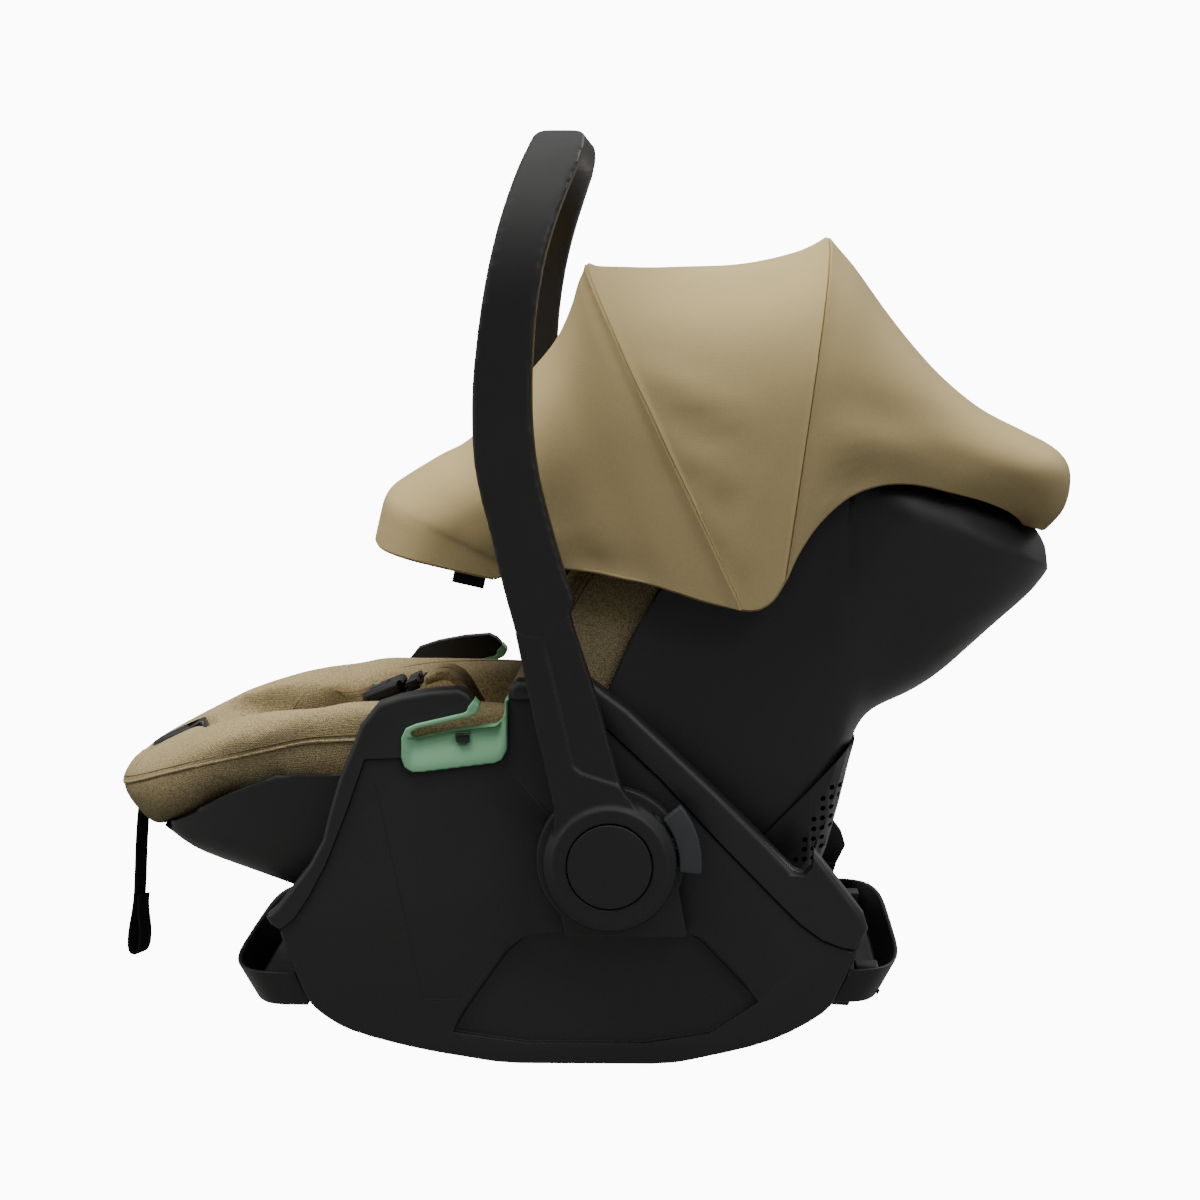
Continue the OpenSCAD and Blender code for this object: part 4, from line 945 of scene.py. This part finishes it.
# %% Seams and hems of the canopy
def roll(name, line, radius, sides=8, away_at=from_middle):
    """A round roll of cloth along a line of points"""
    return smooth_by_angle(swept(name, rings_along(line, away_at, radius, 1.0, sides)), 60)


def lifted(line, lift):
    return [p + from_middle(p) * lift for p in line]


for name, line, radius, finish, body in (
        ("front_bow_seam", lifted(visor_ribs[-1], FRONT_LIFT), 0.0009, canopy_cloth, "front_hoop"),
        ("rear_bow_seam", lifted(rear_ribs[0], REAR_LIFT), 0.0004, seam_thread, "rear_hoop"),
        ("visor_edge_roll", visor_ribs[0], 0.0016, canopy_cloth, "visor"),
        ("canopy_tail_hem", rear_ribs[-1], 0.0015, canopy_cloth, "seat")):
    dress(roll(name, line, radius), finish, body, "canopy_fabric")

for name, ribs, first_body, last_body in (
        ("visor_hem_", visor_ribs, "front_hoop", "visor"),
        ("middle_hem_", middle_ribs, "rear_hoop", "front_hoop"),
        ("rear_hem_", rear_ribs, "seat", "rear_hoop")):
    for side, column in (("left", 0), ("right", -1)):
        line = [one[column] for one in ribs]
        hem = roll(name + side, line, 0.0014)
        follow(hem)
print("canopy seams and hems done")

# %% [markdown]
# ## Padding
# The seat cover is a knit sewn over foam: a thick rim that runs from one hip round the nose of the
# leg rest to the other hip, two wings beside the shoulders, an infant insert and small pads on the
# harness. Stuffed cloth bulges between its seams, and cloth simulation with a little inner pressure
# gives just that: each CAD body is remeshed evenly, blown up for twenty steps and fixed in place.

# %% Stuffing by simulation
STUFFING = {"quality": 5, "mass": 0.3, "tension_stiffness": 15, "compression_stiffness": 15,
            "bending_stiffness": 0.6, "use_pressure": True, "uniform_pressure_force": 4.0}
STEPS = 20


def shrunk(piece, amount):
    return modified(piece, "DISPLACE", strength=-amount, mid_level=0.0)


def stuffed(piece, cap):
    """Blows a closed piece up by simulation; no point of it moves farther than the cap"""
    scene = bpy.context.scene
    rest = [v.co.copy() for v in piece.data.vertices]
    select_only(piece)
    bpy.ops.object.modifier_add(type="CLOTH")
    cloth_modifier = piece.modifiers[-1]
    for key, value in STUFFING.items():
        setattr(cloth_modifier.settings, key, value)
    cloth_modifier.settings.effector_weights.gravity = 0
    cloth_modifier.point_cache.frame_start = 1
    cloth_modifier.point_cache.frame_end = STEPS
    for step in range(1, STEPS + 1):
        scene.frame_set(step)
    bpy.ops.object.modifier_apply(modifier=cloth_modifier.name)
    scene.frame_set(1)
    farthest = 0.0
    for v, old in zip(piece.data.vertices, rest):
        move = v.co - old
        farthest = max(farthest, move.length)
        if move.length > cap:
            v.co = old + move * (cap / move.length)
    print(piece.name, "swelled by up to", round(farthest * 1000, 1), "mm")


def finished_pad(piece, body, fill, *replaced, levels=1):
    if levels:
        modified(piece, "SUBSURF", levels=levels, render_levels=levels)
    bpy.ops.object.shade_smooth()
    dress(piece, seat_knit, body, "seat_fabric", *replaced)
    print(piece.name, len(piece.data.polygons), "faces")


def pad(name, source, body, voxel, cap, fill, rounds=4):
    piece = merged_copy(name, source)
    even_mesh(piece, voxel)
    relaxed(piece, rounds)
    shrunk(piece, cap * 0.3)
    stuffed(piece, cap)
    finished_pad(piece, body, fill, source)
    return piece


# %% How the rim hangs over the shell
SEAM_HEIGHT = ((-0.338, 0.176), (-0.320, 0.184), (-0.299, 0.192), (-0.268, 0.202),
               (-0.234, 0.210), (-0.193, 0.219), (-0.161, 0.2215), (-0.035, 0.2225))
RIM_FOOT = ((-0.342, 0.158), (-0.332, 0.153), (-0.3165, 0.1480), (-0.300, 0.1475),
            (-0.284, 0.1525), (-0.265, 0.1625), (-0.246, 0.170), (-0.215, 0.1725),
            (-0.160, 0.1740), (-0.120, 0.190), (-0.030, 0.194))
SHELL_RIM, RIM_BULGE, NOSE_ROUND, NOSE_NARROWS = 0.130, 0.0030, 0.024, 0.08


def draped_rim(piece):
    """Draws the side of the rim down over the edge of the shell and rounds the nose below"""
    below = surface_of(piece)
    foot = []
    for k in range(62):
        x = -0.338 + 0.005 * k
        hits = [struck(below, (x, y, 0), (0, 0, 1)) for y in (-0.03, -0.06, -0.10, -0.13, -0.145)]
        hits = [h.z for h in hits if h]
        if hits:
            foot.append((x, min(hits)))
    for v in piece.data.vertices:
        x, y, z = v.co
        seam = on_line(SEAM_HEIGHT, x) - 0.002
        now, wanted = on_line(foot, x), on_line(RIM_FOOT, x)
        if z >= seam or wanted > now:
            continue
        t = min((seam - z) / (seam - now), 1.0)
        v.co.z = seam - t * (seam - wanted)
        round_in = 1 - math.sqrt(max(0.0, 1 - t * t))
        v.co.x += NOSE_ROUND * round_in * eased((-0.285 - x) / 0.050)
        outer = eased((abs(y) - SHELL_RIM) / 0.020)
        v.co.y += math.copysign(RIM_BULGE, y) * t * outer * eased((x + 0.300) / 0.03)
        v.co.y *= 1 - NOSE_NARROWS * round_in * eased((-0.270 - x) / 0.06)


# %% Leg cushion and hip rims as one padded rim
RIM_SOURCES = ("leg_cushion", "bolster_left", "bolster_right")
JOINT_AT, BOLSTER_FRONT, BOLSTER_MOVE = -0.200, (-0.1949, -0.184), 0.014
NOSE_SLOPE, NOSE_TOP = math.radians(25), 0.0045
POCKET_LENGTH, POCKET_WIDTH, POCKET_DEPTH, POCKET_SOFT = 0.0235, 0.0275, 0.0065, 0.004

rim = merged_copy("leg_rim_cushion", *RIM_SOURCES)
for v in rim.data.vertices:
    if abs(v.co.y) > 0.09 and BOLSTER_FRONT[0] < v.co.x < BOLSTER_FRONT[1]:
        v.co.x -= BOLSTER_MOVE
even_mesh(rim, 0.005)
relaxed(rim, 3)
relaxed_where(rim, lambda place: 1 - eased((abs(place.x - JOINT_AT) - 0.015) / 0.030), 60, 0.7)
shrunk(rim, 0.0016)
stuffed(rim, 0.005)
relaxed(rim, 10)
draped_rim(rim)
adjuster_low, adjuster_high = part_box("harness_adjuster")
adjuster_middle = (adjuster_low + adjuster_high) / 2
for v in rim.data.vertices:
    off = v.co - adjuster_middle
    along = off.x * math.cos(NOSE_SLOPE) + off.z * math.sin(NOSE_SLOPE)
    above = off.z * math.cos(NOSE_SLOPE) - off.x * math.sin(NOSE_SLOPE)
    if above > NOSE_TOP:
        v.co.z -= 0.85 * (above - NOSE_TOP) * eased((0.045 - along) / 0.020)
    inside = max(abs(along) - POCKET_LENGTH, abs(off.y) - POCKET_WIDTH)
    if above > -POCKET_DEPTH and inside < POCKET_SOFT:
        v.co.z -= (above + POCKET_DEPTH) * (1 - eased(inside / POCKET_SOFT))
finished_pad(rim, "seat", 0.7, *RIM_SOURCES)

# %% [markdown]
# Every edge of the cover is sewn: a raised piping runs round the outside of the rim with a sunk
# seam just above it, and another seam follows the crest. Their places are found by casting rays
# at the finished cushion, so each cord lies exactly on the swollen cloth.

# %% Even lines on the cloth
def even_line(points, step=0.006):
    """The same line with even steps, slightly smoothed"""
    dense = []
    for a, b in zip(points, points[1:]):
        count = max(1, int((b - a).length / (step / 4)))
        dense += [a.lerp(b, k / count) for k in range(count)]
    dense.append(points[-1])
    line, walked = [dense[0]], 0.0
    for a, b in zip(dense, dense[1:]):
        walked += (b - a).length
        if walked >= step:
            line.append(b)
            walked = 0.0
    for _ in range(2):
        line[1:-1] = [(a + b * 2 + c) / 4 for a, b, c in zip(line, line[1:], line[2:])]
    return line


def sewn(name, hits, radius, finish, inside):
    """A cord of the seat's cover along the rays' hits, seen from a point inside the cushion"""
    line = even_line([p for p in hits if p])
    piece = roll(name, line, radius, 6, lambda p: (p - Vector(inside)).normalized())
    dress(piece, finish, "seat", "seat_fabric")


# %% Piping and seams of the rim
NOSE_CENTRE = -0.25
HIP_END = -0.038

rim_surface = surface_of(rim)


def rim_line(drop):
    """Points on the rim's outside from the left hip round the nose to the right hip"""
    half = []
    for k in range(36):
        x = HIP_END + (NOSE_CENTRE - HIP_END) * k / 35
        half.append(struck(rim_surface, (x, -0.3, on_line(SEAM_HEIGHT, x) - drop), (0, 1, 0)))
    for k in range(1, 24):
        turned = math.pi / 2 * k / 24
        way = Vector((-math.sin(turned), -math.cos(turned), 0))
        x = NOSE_CENTRE
        for _ in range(4):
            height = on_line(SEAM_HEIGHT, x) - drop
            hit = struck(rim_surface, Vector((NOSE_CENTRE, 0, height)) + way * 0.3, -way)
            x = hit.x if hit else x
        half.append(hit)
    half = [p for p in half if p]
    return half + [Vector((p.x, -p.y, p.z)) for p in reversed(half)]


sewn("rim_piping", rim_line(0.0035), 0.0013, seat_knit, (-0.2, 0, 0.21))
sewn("rim_top_seam", rim_line(0.0), 0.00055, seam_thread, (-0.2, 0, 0.21))
for side, sign in SIDES:
    crest = [struck(rim_surface, (-0.045 - 0.0075 * k, sign * (0.1262 - 0.00006 * k * k), 0.4),
                    (0, 0, -1)) for k in range(31)]
    sewn("rim_crest_seam_" + side, crest, 0.0005, seam_thread, (-0.15, sign * 0.1262, 0.15))
nose_seam = [struck(rim_surface, (-0.305 - 0.0012 * k, -0.034 - 0.004 * k, 0.4), (0, 0, -1))
             for k in range(14)]
sewn("nose_seam", nose_seam, 0.0005, seam_thread, (-0.3, -0.05, 0.1))
print("rim sewn")

# %% Wings, insert and small pads
WING_EDGE = ((-0.052, 0.250), (-0.047, 0.262), (-0.041, 0.276), (-0.034, 0.290), (-0.027, 0.303),
             (-0.018, 0.318), (-0.010, 0.332), (0.001, 0.346), (0.012, 0.358))

for side, sign in SIDES:
    wing = pad("wing_pad_" + side, "side_wing_" + side, "seat", 0.006, 0.004, 0.6)
    wing_surface = surface_of(wing)
    for name, shift in (("front", 0.010), ("second", 0.014)):
        hits = [struck(wing_surface, (x + shift, sign * 0.3, z), (0, -sign, 0))
                for x, z in WING_EDGE]
        sewn("wing_" + name + "_seam_" + side, hits, 0.0006, seam_thread, (0, sign * 0.05, 0.3))
pad("infant_insert", "seat_inlay", "seat", 0.005, 0.004, 0.4)
pad("headrest_cushion", "headrest_pad", "headrest", 0.005, 0.004, 0.5)
pad("shoulder_pad_pair", "shoulder_pads", "seat", 0.004, 0.003, 0.5, 3)
pad("crotch_cushion", "crotch_pad", "seat", 0.003, 0.002, 0.5, 3)

# %% [markdown]
# The liner is moulded foam under a tight cover, so it doesn't bulge. It keeps its form and only its
# edges are soft, which an even remesh and a little smoothing give without any simulation.

# %% Seat liner
liner = merged_copy("foam_liner", "seat_liner")
even_mesh(liner, 0.006)
relaxed(liner, 3)
shrunk(liner, 0.0005)
finished_pad(liner, "seat", 0.9, "seat_liner", levels=0)

# %% [markdown]
# ## Parts that keep their CAD shape
# Screws, pins, springs, lock plates and bushes are turned or stamped parts whose CAD bodies are
# already right. They only get a metal or nylon finish.

# %% Small hardware
for finish, names in (
        (steel, ("housing_screws", "axles", "lock_plates", "axle_screws", "button_spring_left",
                 "button_spring_right")),
        (bush_nylon, ("recline_bushes",)),
        (trim_black, ("canopy_pins", "rear_bow", "front_bow", "visor_hoop"))):
    for name in names:
        nodes[name].data.materials.clear()
        nodes[name].data.materials.append(finish)
print("hardware dressed")
